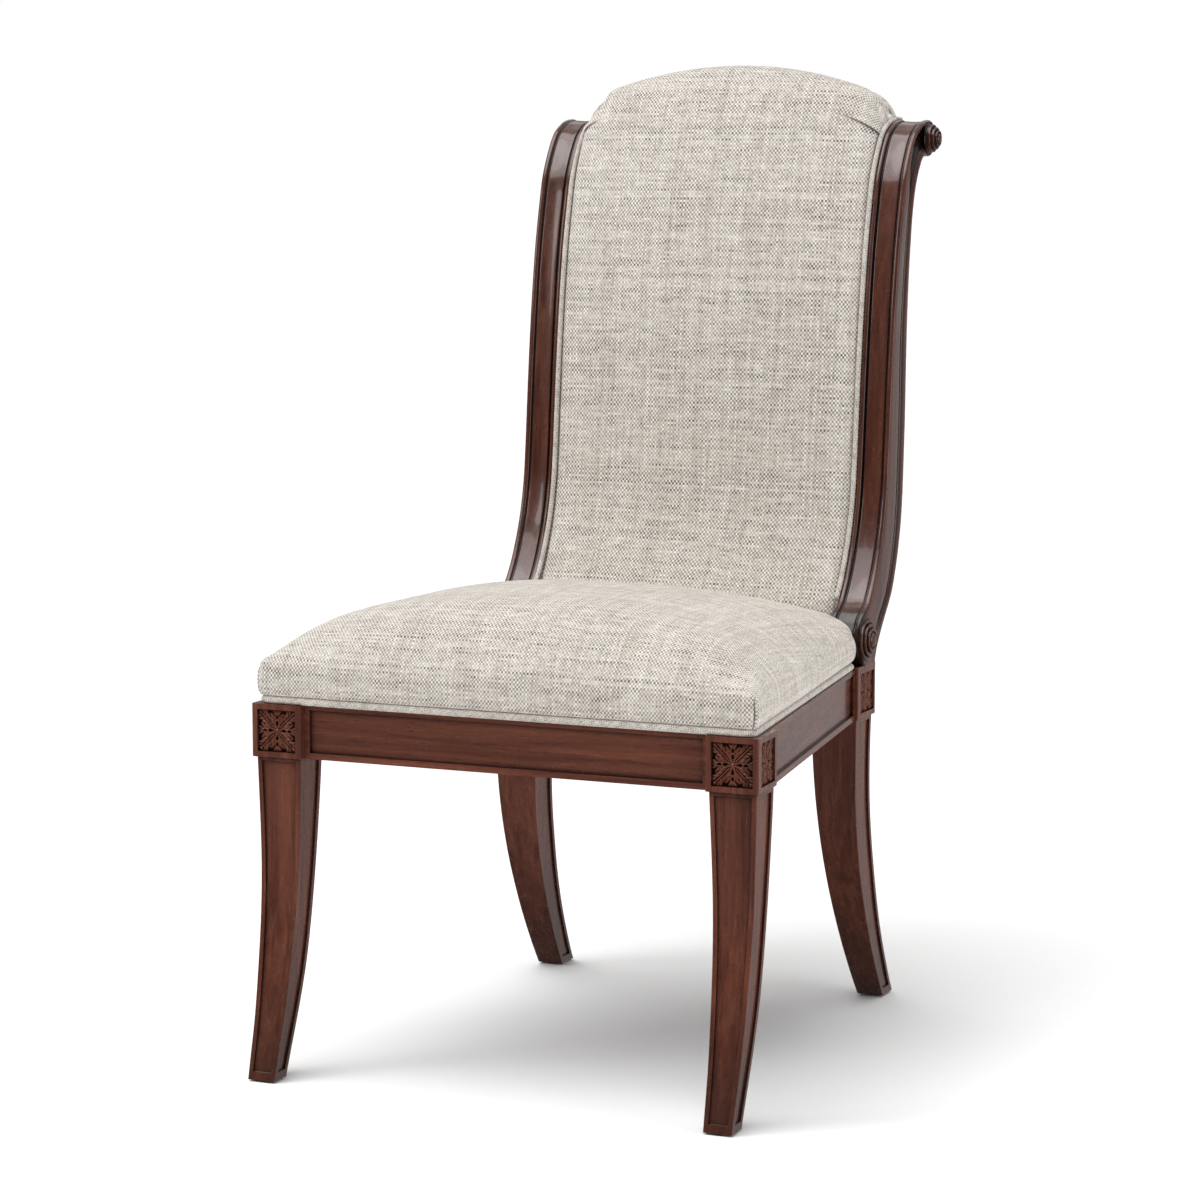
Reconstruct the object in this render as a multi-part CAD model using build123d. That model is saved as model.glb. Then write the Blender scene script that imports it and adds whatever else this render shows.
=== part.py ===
from build123d import *
import math
import os

os.makedirs("parts", exist_ok=True)

# ---------------------------------------------------------------- driving dimensions (mm)
# Working axes: X to the sitter's left as seen from the front (viewer's right), Y to the
# rear from the front face of the front corner blocks, Z up from the floor.
Y_CENTRE = 335.65       # middle of the whole depth, moved to the origin at the end
GLIDE_T = 1.5           # nail-on glide under each foot
RAIL_Z0, RAIL_Z1 = 339.0, 396.0
BLOCK_X0, BLOCK_X1, BLOCK_D = 227.5, 285.0, 60.0
BLOCK_TAPER = math.tan(math.radians(3.0))
RBLOCK_X0, RBLOCK_X1, RBLOCK_Y0, RBLOCK_Y1, RBLOCK_TOP = 165.0, 223.0, 468.0, 526.0, 398.5
RAIL_T = 22.0
FRONT_RAIL_Y = 9.0
SIDE_X0, SIDE_X1 = 277.5, 219.0      # outer face of the side rail at its two ends
REAR_RAIL_Y = 495.0
PATERA = 44.4
PATERA_Z = 367.7
STILE_X0, STILE_X1 = 187.5, 224.5
UP_C, UP_R = (690.0, 979.5), 20.8     # eye of the upper scroll (y, z)
LO_C, LO_R = (494.0, 424.0), 23.0     # eye of the lower scroll
SEAT_W0, SEAT_K = 281.6, 0.134        # half width of the seat: W0 - K*y
SEAT_Y0, SEAT_Y1, SEAT_Y2 = 2.0, 464.0, 490.0
SEAT_TONGUE = 184.0
WELT = 8.0
SEAT_WALL, SEAT_CROWN = 36.4, 69.0
COVER_T = 2.5

# profiles as (y, z), foot to top
FRONT_LEG_F = [(-39.5, 1.5), (-31.0, 30), (-22.0, 60), (-14.9, 90), (-8.8, 120), (-3.2, 150), (1.2, 180),
               (4.2, 210), (5.5, 240), (5.6, 270), (5.1, 300), (4.2, 341)]
FRONT_LEG_R = [(-11.0, 1.5), (-0.5, 30), (11.0, 60), (21.5, 90), (30.0, 120), (36.0, 150), (40.5, 180),
               (44.2, 210), (47.2, 240), (49.5, 270), (51.5, 300), (53.0, 341)]
REAR_LEG_F = [(577.8, 1.5), (571.5, 10), (551.2, 40), (533.0, 70), (516.9, 100), (502.7, 130), (490.8, 160),
              (481.3, 190), (474.2, 220), (469.6, 250), (467.4, 280), (467.4, 310), (468.6, 341)]
REAR_LEG_R = [(611.5, 1.5), (605.8, 10), (588.2, 40), (572.3, 70), (558.8, 100), (547.8, 130), (538.5, 160),
              (530.0, 190), (523.3, 220), (518.9, 250), (517.0, 280), (517.2, 310), (519.0, 341)]
STILE_F = [(690.0, 1000.3), (660, 994.5), (637, 980), (611, 940), (598.5, 900), (588.7, 860), (581.4, 820),
           (575.5, 780), (570.5, 740), (566, 700), (562, 660), (558, 620), (552.5, 580), (541.5, 540),
           (522.8, 500), (505, 474), (492, 463.5), (479, 455.5), (470, 445), (466.5, 431), (468.5, 415),
           (475, 404), (482, 398.5)]
STILE_R = [(521, 398.5), (525, 408), (533, 421), (550, 441), (579, 474), (598, 517), (609, 560), (613.5, 610),
           (616.5, 654), (618.5, 710), (620.5, 765), (625, 820), (631, 865), (638.5, 904), (647.5, 928),
           (662, 950), (677, 963)]
PAD_F = [(494, 438), (497, 455), (504, 472), (520, 500), (537.5, 540), (548, 580), (553.5, 620), (557, 660),
         (561, 700), (565, 740), (570, 780), (576, 820), (583, 860), (592, 900), (603, 940), (617, 980),
         (633, 1015), (652, 1042), (669, 1056), (684, 1061)]
PAD_TOP = [(684, 1061), (697, 1057.5), (706.5, 1048), (710.5, 1034)]
PAD_R = [(556, 442), (577.5, 476), (597, 518), (608, 562), (612.5, 610), (615, 654), (617, 710), (619, 765),
         (623.5, 820), (629.5, 865), (637, 904), (646, 928), (664, 955), (684, 982), (701, 1008), (710.5, 1034)]
ARCH = [(187.3, 986), (187.0, 1000), (183, 1014.5), (172, 1026), (150, 1037), (100, 1050.5), (50, 1058.5), (0, 1061)]


# ---------------------------------------------------------------- helpers
def dense(pts, n=8):
    """Smooth curve through the points, n steps between neighbours."""
    out = []
    m = len(pts)
    for i in range(m - 1):
        p0 = pts[max(i - 1, 0)]
        p1, p2 = pts[i], pts[i + 1]
        p3 = pts[min(i + 2, m - 1)]
        for k in range(n):
            t = k / n
            q = []
            for a in (0, 1):
                m1 = (p2[a] - p0[a]) / (2 if i > 0 else 1)
                m2 = (p3[a] - p1[a]) / (2 if i < m - 2 else 1)
                h00 = 2 * t**3 - 3 * t**2 + 1
                h10 = t**3 - 2 * t**2 + t
                h01 = -2 * t**3 + 3 * t**2
                h11 = t**3 - t**2
                q.append(h00 * p1[a] + h10 * m1 + h01 * p2[a] + h11 * m2)
            out.append(tuple(q))
    out.append(tuple(pts[-1]))
    return out


def offset(pts, d):
    """Points moved d to the right of the direction of travel."""
    out = []
    m = len(pts)
    for i, p in enumerate(pts):
        a, b = pts[max(i - 1, 0)], pts[min(i + 1, m - 1)]
        ty, tz = b[0] - a[0], b[1] - a[1]
        n = math.hypot(ty, tz)
        out.append((p[0] + d * tz / n, p[1] - d * ty / n))
    return out


def thin(pts, k):
    out = pts[::k]
    if out[-1] != pts[-1]:
        out = out + [pts[-1]]
    return out


def zcut(pts, z0, z1):
    return [p for p in pts if z0 <= p[1] <= z1]


def spl(pts, x=0.0):
    return Spline(*[(x, p[0], p[1]) for p in pts])


def line(a, b, x=0.0):
    return Line((x, a[0], a[1]), (x, b[0], b[1]))


def band(a, b, x0, x1):
    """Solid between two smooth (y, z) curves, both running the same way, from x0 to x1."""
    w = Wire([spl(a, x0), line(a[-1], b[-1], x0), spl(b[::-1], x0), line(b[0], a[0], x0)])
    return Solid.extrude(Face(w), Vector(x1 - x0, 0, 0))


def prism_xz(pts, y0, y1):
    w = Wire.make_polygon([(p[0], y0, p[1]) for p in pts], close=True)
    return Solid.extrude(Face(w), Vector(0, y1 - y0, 0))


def prism_xy(pts, z0, z1):
    w = Wire.make_polygon([(p[0], p[1], z0) for p in pts], close=True)
    return Solid.extrude(Face(w), Vector(0, 0, z1 - z0))


def prism_yz(pts, x0, x1):
    w = Wire.make_polygon([(x0, p[0], p[1]) for p in pts], close=True)
    return Solid.extrude(Face(w), Vector(x1 - x0, 0, 0))


def rod(r, a, b):
    """Cylinder of radius r from point a to point b."""
    v = Vector(*b) - Vector(*a)
    return Solid.make_cylinder(r, v.length, Plane(origin=a, z_dir=v))


def cut(a, *tools):
    r = a
    for t in tools:
        r = r - t
    return one(r)


def one(s):
    sol = s.solids()
    sol.sort(key=lambda q: -q.volume)
    return sol[0]


def soften(s, edges, r):
    """Round the given edges where the radius fits."""
    try:
        f = one(s.fillet(r, edges))
        if f.is_valid and 0.9 * s.volume < f.volume < 1.02 * s.volume:
            return f
    except Exception as err:
        print("  edge rounding left out:", err)
    return s


def other(s):
    return mirror(s, about=Plane.YZ)


NODES = {}


def node(name, *solids):
    NODES[name] = list(solids)


def pair(name_right, name_left, s):
    node(name_right, s)
    node(name_left, one(other(s)))


# ---------------------------------------------------------------- joinery positions
DOWEL_R, HOLE_R = 4.5, 4.55
DOWEL_Z = (355.0, 382.0)
dowel_axes = []
for zz in DOWEL_Z:
    dowel_axes.append(((207.5, 20, zz), (247.5, 20, zz)))
    dowel_axes.append(((265, 40, zz), (265, 80, zz)))
    dowel_axes.append(((209, 448, zz), (209, 488, zz)))
    dowel_axes.append(((145, 506, zz), (185, 506, zz)))
stile_dowel = ((206, 506, 374), (206, 506, 421))


def longer(a, b, e):
    v = (Vector(*b) - Vector(*a)).normalized() * e
    return tuple(Vector(*a) - v), tuple(Vector(*b) + v)


dowel_holes = [rod(HOLE_R, *longer(a, b, 0.5)) for a, b in dowel_axes]
stile_hole = rod(5.05, *longer(*stile_dowel, 0.5))


def patera_box(x, y, z, turn, size=PATERA + 0.2, depth=4.6):
    b = Solid.make_box(size, depth + 6, size).moved(Location((-size / 2, -6, -size / 2)))
    return b.moved(Location((x, y, z), (0, 0, turn)))


FRONT_PATERA = (256.2, 0.0, PATERA_Z, 0)
SIDE_PATERA = (BLOCK_X1 - BLOCK_TAPER * 31, 31.0, PATERA_Z, 93)
REAR_PATERA = (RBLOCK_X1, 499.0, PATERA_Z, 90)


# ---------------------------------------------------------------- legs
def leg(front, rear, xo, xi, panel_front):
    """Sabre leg: curved in the side view, tapered in the front view, with sunk panels."""
    z0, z1 = front[0][1], front[-1][1]

    def xs(pair_, z):
        t = (z - z0) / (z1 - z0)
        return pair_[0] + t * (pair_[1] - pair_[0])

    side = band(front, rear, 100, 320)
    body = one(side & prism_xz([(xi[0], z0 - 1), (xo[0], z0 - 1), (xo[1], z1), (xi[1], z1)], -120, 760))
    longs = [e for e in body.edges() if e.length > 250]
    body = soften(body, longs, 1.1)
    pz0, pz1, m, d = z0 + 8.5, RAIL_Z0 - 4.0, 5.2, 2.2
    sh = lambda c, k: [(p[0] + k, p[1]) for p in c]
    tools = []
    if panel_front:
        tools.append(one(band(sh(front, -25), sh(front, d), 100, 320) &
                         prism_xz([(xs(xi, pz0) + m, pz0), (xs(xo, pz0) - m, pz0),
                                   (xs(xo, pz1) - m, pz1), (xs(xi, pz1) + m, pz1)], -120, 760)))
    core = band(sh(front, 6.5), sh(rear, -6.5), 100, 320)
    tools.append(one(core & prism_xz([(xs(xo, pz0) - d, pz0), (xs(xo, pz0) + 20, pz0),
                                      (xs(xo, pz1) + 20, pz1), (xs(xo, pz1) - d, pz1)], -120, 760)))
    tools.append(one(core & prism_xz([(xs(xi, pz0) - 20, pz0), (xs(xi, pz0) + d, pz0),
                                      (xs(xi, pz1) + d, pz1), (xs(xi, pz1) - 20, pz1)], -120, 760)))
    return cut(body, *tools)


fblock = prism_xy([(BLOCK_X0, 0), (BLOCK_X1, 0), (BLOCK_X1 - BLOCK_TAPER * BLOCK_D, BLOCK_D), (BLOCK_X0, BLOCK_D)],
                  RAIL_Z0, RAIL_Z1)
fblock = soften(fblock, [e for e in fblock.edges() if e.center().Z < RAIL_Z1 - 1 and
                         (e.center().Y < 1 or e.center().X > BLOCK_X1 - 5)], 1.6)
fleg = leg(FRONT_LEG_F, FRONT_LEG_R, (273.3, 281.3), (242.4, 229.8), True)
glide_f = (257.8, -25.3)
glide_r = (201.8, 594.6)
fleg = one(fleg + fblock)
fleg = cut(fleg, patera_box(*FRONT_PATERA), patera_box(*SIDE_PATERA), *dowel_holes,
           rod(1.55, (glide_f[0], glide_f[1], 0), (glide_f[0], glide_f[1], 14)))
pair("front_leg_right", "front_leg_left", fleg)

rblock = Solid.make_box(RBLOCK_X1 - RBLOCK_X0, RBLOCK_Y1 - RBLOCK_Y0, RBLOCK_TOP - RAIL_Z0).moved(
    Location((RBLOCK_X0, RBLOCK_Y0, RAIL_Z0)))
rblock = soften(rblock, [e for e in rblock.edges() if e.center().Z < RBLOCK_TOP - 1 and
                         (e.center().X > RBLOCK_X1 - 1 or e.center().Y > RBLOCK_Y1 - 1)], 1.6)
rleg = leg(REAR_LEG_F, REAR_LEG_R, (217.3, 221.3), (186.3, 167.2), False)
rleg = one(rleg + rblock)
rleg = cut(rleg, patera_box(*REAR_PATERA), *dowel_holes, stile_hole,
           rod(1.55, (glide_r[0], glide_r[1], 0), (glide_r[0], glide_r[1], 14)))
pair("rear_leg_right", "rear_leg_left", rleg)

glides = []
for (gx, gy) in (glide_f, glide_r):
    for s in (1, -1):
        g = one(rod(10.5, (s * gx, gy, 0), (s * gx, gy, GLIDE_T)) + rod(1.5, (s * gx, gy, GLIDE_T), (s * gx, gy, 13.5)))
        glides.append(g)
node("foot_glides", *glides)


# ---------------------------------------------------------------- rails
PANEL_D = 3.5
frail = Solid.make_box(2 * BLOCK_X0, RAIL_T, RAIL_Z1 - RAIL_Z0).moved(Location((-BLOCK_X0, FRONT_RAIL_Y, RAIL_Z0)))
frail = cut(frail, Solid.make_box(2 * BLOCK_X0 - 12, PANEL_D + 5, RAIL_Z1 - RAIL_Z0 - 11.5).moved(
    Location((-BLOCK_X0 + 6, FRONT_RAIL_Y - 5, RAIL_Z0 + 6.5))))
hol2 = dowel_holes + [one(other(h)) for h in dowel_holes]
screw_f = [((185, 66, 376), (185, 17, 376)), ((222, 105, 376), (262, 105, 376))]
screw_r = [((132, 474, 372), (132, 510, 372)), ((186, 428, 376), (214, 428, 376))]
SCREW_R = 2.2
screw_holes = [rod(SCREW_R + 0.05, *longer(a, b, 0.3)) for a, b in screw_f + screw_r]
sh2 = screw_holes + [one(other(h)) for h in screw_holes]
frail = cut(frail, *hol2, *sh2)
node("front_rail", frail)

sl = (SIDE_X1 - SIDE_X0) / (RBLOCK_Y0 - BLOCK_D)
TW = RAIL_T * math.sqrt(1 + sl * sl)


def side_x(y):
    return SIDE_X0 + sl * (y - BLOCK_D)


srail = prism_xy([(SIDE_X0, BLOCK_D), (SIDE_X1, RBLOCK_Y0), (SIDE_X1 - TW, RBLOCK_Y0), (SIDE_X0 - TW, BLOCK_D)],
                 RAIL_Z0, RAIL_Z1)
srail = cut(srail, prism_xy([(side_x(66) + 5, 66), (side_x(462) + 5, 462), (side_x(462) - PANEL_D, 462),
                             (side_x(66) - PANEL_D, 66)], RAIL_Z0 + 6.5, RAIL_Z1 - 5), *dowel_holes, *screw_holes)
pair("side_rail_right", "side_rail_left", srail)

rrail = Solid.make_box(2 * RBLOCK_X0, RAIL_T, RAIL_Z1 - RAIL_Z0).moved(Location((-RBLOCK_X0, REAR_RAIL_Y, RAIL_Z0)))
rrail = cut(rrail, *hol2, *sh2)
node("rear_rail", rrail)

rods = [rod(DOWEL_R, a, b) for a, b in dowel_axes]
node("rail_dowels", *(rods + [one(other(r)) for r in rods]))
sd = rod(5.0, *stile_dowel)
node("stile_dowels", sd, one(other(sd)))

# corner blocks, notched round the leg block, screwed to both rails and up into the seat frame
CB_Z0, CB_Z1 = 352.0, 393.0
seat_screw_f, seat_screw_r = (224, 80), (182, 447)
cbf = prism_xy([(150, FRONT_RAIL_Y + RAIL_T), (BLOCK_X0, FRONT_RAIL_Y + RAIL_T), (BLOCK_X0, BLOCK_D),
                (SIDE_X0 - TW, BLOCK_D), (side_x(132) - TW, 132)], CB_Z0, CB_Z1)
cbr = prism_xy([(side_x(408) - TW, 408), (SIDE_X1 - TW, RBLOCK_Y0), (RBLOCK_X0, RBLOCK_Y0),
                (RBLOCK_X0, REAR_RAIL_Y), (98, REAR_RAIL_Y)], CB_Z0, CB_Z1)
HEAD_R, HEAD_T = 4.4, 3.0


def wood_screw(a, b, r=SCREW_R, hr=HEAD_R, ht=HEAD_T):
    v = (Vector(*b) - Vector(*a)).normalized()
    return one(rod(r, a, b) + rod(hr, tuple(Vector(*a) - v * ht), a))


def bore(a, b, r=SCREW_R, hr=HEAD_R):
    v = (Vector(*b) - Vector(*a)).normalized()
    return [rod(r + 0.05, a, tuple(Vector(*b) + v * 0.3)), rod(hr + 0.4, tuple(Vector(*a) - v * 60), a)]


ssf = ((seat_screw_f[0], seat_screw_f[1], CB_Z0 + 6), (seat_screw_f[0], seat_screw_f[1], 408))
ssr = ((seat_screw_r[0], seat_screw_r[1], CB_Z0 + 6), (seat_screw_r[0], seat_screw_r[1], 408))
for a, b in screw_f:
    cbf = cut(cbf, *bore(a, b))
for a, b in screw_r:
    cbr = cut(cbr, *bore(a, b))
cbf = cut(cbf, *bore(*ssf, r=2.5))
cbr = cut(cbr, *bore(*ssr, r=2.5))
pair("corner_block_front_right", "corner_block_front_left", cbf)
pair("corner_block_rear_right", "corner_block_rear_left", cbr)
cs = [wood_screw(a, b) for a, b in screw_f + screw_r]
node("corner_block_screws", *(cs + [one(other(s)) for s in cs]))
ss = [wood_screw(*ssf, r=2.5), wood_screw(*ssr, r=2.5)]
node("seat_screws", *(ss + [one(other(s)) for s in ss]))


# ---------------------------------------------------------------- carved tablets
def tablet():
    s = PATERA
    plate = Solid.make_box(s, 2.4, s).moved(Location((-s / 2, 2.2, -s / 2)))
    carving = Pos(0, 0, 0) * Circle(4.2)
    for k in range(4):
        a = 45 + 90 * k
        c, q = math.cos(math.radians(a)), math.sin(math.radians(a))
        carving += Pos(13.2 * c, 13.2 * q) * Rot(0, 0, a) * Ellipse(10.5, 4.6)
        a = 90 * k
        c, q = math.cos(math.radians(a)), math.sin(math.radians(a))
        carving += Pos(11.5 * c, 11.5 * q) * Rot(0, 0, a) * Ellipse(8.5, 3.6)
    relief = Pos(0, 2.2, 0) * extrude(Plane.XZ * carving, amount=1.6)
    return one(plate + relief)


tab = tablet()
for nm, spec in (("front_patera", FRONT_PATERA), ("side_patera_front", SIDE_PATERA), ("side_patera_rear", REAR_PATERA)):
    t = tab.moved(Location(spec[:3], (0, 0, spec[3])))
    pair(nm + "_right", nm + "_left", t)


# ---------------------------------------------------------------- back stiles
def chain(pts, x, step=5, t0=None, t1=None):
    """Smooth curve through the points, as short splines that share their tangents."""
    m = len(pts)

    def tan(i):
        if i == 0 and t0:
            return (0, *t0)
        if i == m - 1 and t1:
            return (0, *t1)
        p, q = pts[max(i - 1, 0)], pts[min(i + 1, m - 1)]
        n = math.hypot(q[0] - p[0], q[1] - p[1])
        return (0, (q[0] - p[0]) / n, (q[1] - p[1]) / n)

    cuts = list(range(0, m - 1, step))
    if m - 1 - cuts[-1] < 3 and len(cuts) > 1:
        cuts.pop()
    cuts.append(m - 1)
    return [Spline(*[(x, q[0], q[1]) for q in pts[i:j + 1]], tangents=[tan(i), tan(j)])
            for i, j in zip(cuts, cuts[1:])]


BORD, GROOVE, SIDE_SUNK = 5.6, 1.8, 2.2
fd = dense(STILE_F[::-1], 6)                       # base to crest
face_run = thin([p for p in fd if p[1] > 452 and p[0] > 473], 4)[::-1]   # crest to the lower scroll
foot_run = [p for p in STILE_F if p[0] < face_run[-1][0] and p[1] < face_run[-1][1]] + [STILE_F[-1]]
foot_run = [q for i, q in enumerate(foot_run) if q not in foot_run[:i]]


def stile_slab(x0, x1, sunk):
    """Slice of the stile between two planes, its front face sunk between the crest and the lower scroll."""
    rear = [line(STILE_F[-1], STILE_R[0], x0)] + chain(STILE_R, x0) + [
        ThreePointArc((x0, *STILE_R[-1]), (x0, UP_C[0] + UP_R, UP_C[1]), (x0, UP_C[0], UP_C[1] + UP_R))]
    turn = (foot_run[0][0] - face_run[-2][0], foot_run[0][1] - face_run[-2][1])
    foot = chain([face_run[-1]] + foot_run, x0, 6, t0=turn, t1=(0.75, -0.66))
    if sunk:
        f = offset(face_run, -sunk)
        f[0] = (STILE_F[0][0], STILE_F[0][1] - sunk)
        front = [line(STILE_F[0], f[0], x0)] + chain(f, x0, 6, t0=(-1, 0)) + [line(f[-1], face_run[-1], x0)] + foot
    else:
        front = chain(face_run, x0, 6, t0=(-1, 0), t1=turn) + foot
    return Solid.extrude(Face(Wire(rear + front)), Vector(x1 - x0, 0, 0))


xa, xb, xc = STILE_X0 + BORD, STILE_X1 - BORD, STILE_X1 - SIDE_SUNK
fs = zcut(fd, 485, 958)
rs = zcut(dense(STILE_R, 6), 462, 938)
sunk_side = [thin(offset(fs, 18.5), 5), thin(offset(rs, -6.0), 5)]
BACK_SCREW_Z = (525.0, 705.0, 885.0)
BACK_SCREW_Y = (576.0, 600.0, 619.5)
bs = [((168, y, z), (206, y, z)) for y, z in zip(BACK_SCREW_Y, BACK_SCREW_Z)]


def stile(q):
    """One stile; q is +1 on the right and -1 on the left."""
    r = stile_slab(q * STILE_X0, q * xa, 0)
    for x0, x1, sunk in ((xa, xa + GROOVE, 3.1), (xa + GROOVE, xb - GROOVE, 1.9), (xb - GROOVE, xb, 3.1), (xb, xc, 0)):
        r = one(r + stile_slab(q * x0, q * x1, sunk))
    x = q * (xc - 1)
    w = Wire(chain(sunk_side[0], x) + [line(sunk_side[0][-1], sunk_side[1][-1], x)] +
             chain(sunk_side[1][::-1], x) + [line(sunk_side[1][0], sunk_side[0][0], x)])
    r = one(r + cut(stile_slab(q * xc, q * STILE_X1, 0), Solid.extrude(Face(w), Vector(q * (SIDE_SUNK + 3), 0, 0))))
    at = lambda pt: (q * pt[0], pt[1], pt[2])
    for u, v in bs:
        r = cut(r, rod(SCREW_R + 0.05, *longer(at(u), at(v), 0.3)))
    return cut(r, rod(5.05, *longer(at(stile_dowel[0]), at(stile_dowel[1]), 0.5)),
               rod(5.05, (q * (STILE_X1 - 12.3), *UP_C), (q * (STILE_X1 + 1), *UP_C)),
               rod(5.05, (q * (STILE_X1 - 12.3), *LO_C), (q * (STILE_X1 + 1), *LO_C)))


node("back_stile_right", stile(1))
node("back_stile_left", stile(-1))


def boss(r, h):
    """Turned boss: outer bead, cove, inner bead and a button, with a peg behind."""
    k = r / 20.8
    P = lambda a, b: (b * h, a * k, 0)
    e = [Line((-12, 0, 0), (-12, 5, 0)), Line((-12, 5, 0), (0, 5, 0)), Line((0, 5, 0), P(20.3, 0)),
         Line(P(20.3, 0), P(20.3, 0.16)), ThreePointArc(P(20.3, 0.16), P(18.0, 0.44), P(15.6, 0.30)),
         Line(P(15.6, 0.30), P(14.6, 0.30)), Line(P(14.6, 0.30), P(14.6, 0.46)),
         ThreePointArc(P(14.6, 0.46), P(12.4, 0.74), P(9.8, 0.56)),
         Line(P(9.8, 0.56), P(8.4, 0.56)), Line(P(8.4, 0.56), P(8.4, 0.72)),
         ThreePointArc(P(8.4, 0.72), P(5.2, 0.93), P(1.2, 1.0)), Line(P(1.2, 1.0), P(0, 1.0)),
         Line(P(0, 1.0), (-12, 0, 0))]
    return one(revolve(Face(Wire(e)), axis=Axis.X, revolution_arc=360))


pair("upper_scroll_boss_right", "upper_scroll_boss_left", boss(UP_R, 13.4).moved(Location((STILE_X1, *UP_C))))
pair("lower_scroll_boss_right", "lower_scroll_boss_left", boss(LO_R, 10.6).moved(Location((STILE_X1, *LO_C))))


# ---------------------------------------------------------------- seat
def seat_w(y):
    return SEAT_W0 - SEAT_K * y


def seat_plan(inset, tongue=True, y1=None):
    y0 = SEAT_Y0 + inset
    yr = (SEAT_Y1 - inset) if y1 is None else y1
    a, b = seat_w(y0) - inset, seat_w(yr) - inset
    if not tongue:
        return [(-a, y0), (a, y0), (b, yr), (-b, yr)]
    t, yt = SEAT_TONGUE - inset, SEAT_Y2 - inset
    return [(-a, y0), (a, y0), (b, yr), (t, yr), (t, yt), (-t, yt), (-t, yr), (-b, yr)]


def seat_top(x, y, drop):
    """Crowned top of the seat: steep at the front edge, flat across the middle, falling to the rear."""
    v = (y - SEAT_Y0) / 476.0
    u = x / seat_w(y)
    gx = 1 - min(abs(u), 1.12) ** 4
    vr = 0.453
    gy = 1 - ((vr - v) / vr) ** 6 if v < vr else 1 - 0.63 * ((v - vr) / (1 - vr)) ** 1.8
    return RAIL_Z1 + WELT + SEAT_WALL - drop + SEAT_CROWN * gx * gy


def seat_block(inset, z0, drop, tongue=True):
    n = 21
    rows = []
    for j in range(n):
        y = SEAT_Y0 - 6 + (SEAT_Y2 + 8 - SEAT_Y0) * j / (n - 1)
        row = []
        for i in range(n):
            u = -1.06 + 2.12 * i / (n - 1)
            row.append(Vector(u * seat_w(y), y, seat_top(u * seat_w(y), y, drop)))
        rows.append(row)
    top = Face.make_surface_from_array_of_points(rows)
    below = Solid.extrude(top, Vector(0, 0, -(RAIL_Z1 + 160 - 300)))
    walls = prism_xy(seat_plan(inset, tongue), z0, RAIL_Z1 + 200)
    return one(walls & below)


ZB = RAIL_Z1 + WELT
outer = seat_block(0.0, ZB, 0.0)
inner = seat_block(COVER_T, ZB - 20, COVER_T)
node("seat_cover", one(outer - inner))
FRAME_T, FRAME_W = 18.0, 60.0
FZ0, FZ1 = RAIL_Z1, RAIL_Z1 + FRAME_T
FI = WELT + 0.5
yf0 = SEAT_Y0 + FI
yf1 = SEAT_Y1 - FI
edge = lambda y: seat_w(y) - FI
seat_pilot = []
for a, b in (ssf, ssr):
    for s in (1, -1):
        seat_pilot.append(rod(2.55, (s * a[0], a[1], a[2]), (s * a[0], a[1], b[2] + 0.3)))
node("seat_frame_front", prism_xy([(-edge(yf0), yf0), (edge(yf0), yf0), (edge(yf0 + FRAME_W), yf0 + FRAME_W),
                                   (-edge(yf0 + FRAME_W), yf0 + FRAME_W)], FZ0, FZ1))
sfr = prism_xy([(-edge(yf1 - FRAME_W), yf1 - FRAME_W), (edge(yf1 - FRAME_W), yf1 - FRAME_W), (edge(yf1), yf1),
                (-edge(yf1), yf1)], FZ0, FZ1)
node("seat_frame_rear", cut(sfr, *seat_pilot))
sfs = prism_xy([(edge(yf0 + FRAME_W), yf0 + FRAME_W), (edge(yf1 - FRAME_W), yf1 - FRAME_W),
                (edge(yf1 - FRAME_W) - FRAME_W, yf1 - FRAME_W), (edge(yf0 + FRAME_W) - FRAME_W, yf0 + FRAME_W)], FZ0, FZ1)
pair("seat_frame_right", "seat_frame_left", cut(sfs, *seat_pilot))
WEB_T = 1.5
node("seat_webbing_lengthwise", *[Solid.make_box(50, 420, WEB_T).moved(Location((x - 25, 22, FZ1)))
                                  for x in (-120, -40, 40, 120)])
node("seat_webbing_crosswise", *[Solid.make_box(2 * (edge(y + 25) - 12), 50, WEB_T).moved(
    Location((-(edge(y + 25) - 12), y - 25, FZ1 + WEB_T))) for y in (112, 192, 272, 352)])
node("seat_foam", seat_block(COVER_T + 0.3, FZ1 + 2 * WEB_T, COVER_T + 0.3))
wo, wi = seat_plan(0.0, False), seat_plan(WELT, False)
node("seat_welt", prism_xy([wo[0], wo[1], wo[2], (wi[2][0], wo[2][1]), wi[1], wi[0], (wi[3][0], wo[3][1]), wo[3]],
                           RAIL_Z1, ZB))
dz = RAIL_Z1 - 1.0
inn = lambda y: side_x(y) - TW - 0.5
node("dust_cover", prism_xy([(-227, 31.5), (227, 31.5), (227, 60.5), (inn(60.5), 60.5), (inn(467.5), 467.5), (164.5, 467.5),
                             (164.5, 494.5), (-164.5, 494.5), (-164.5, 467.5), (-inn(467.5), 467.5), (-inn(60.5), 60.5),
                             (-227, 60.5)], dz, RAIL_Z1 - 0.2))
dust = NODES["dust_cover"][0]
dust = cut(dust, *[rod(3.2, (s * q[0], q[1], dz - 5), (s * q[0], q[1], dz + 5)) for q in (seat_screw_f, seat_screw_r)
                   for s in (1, -1)])
NODES["dust_cover"] = [dust]


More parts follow.
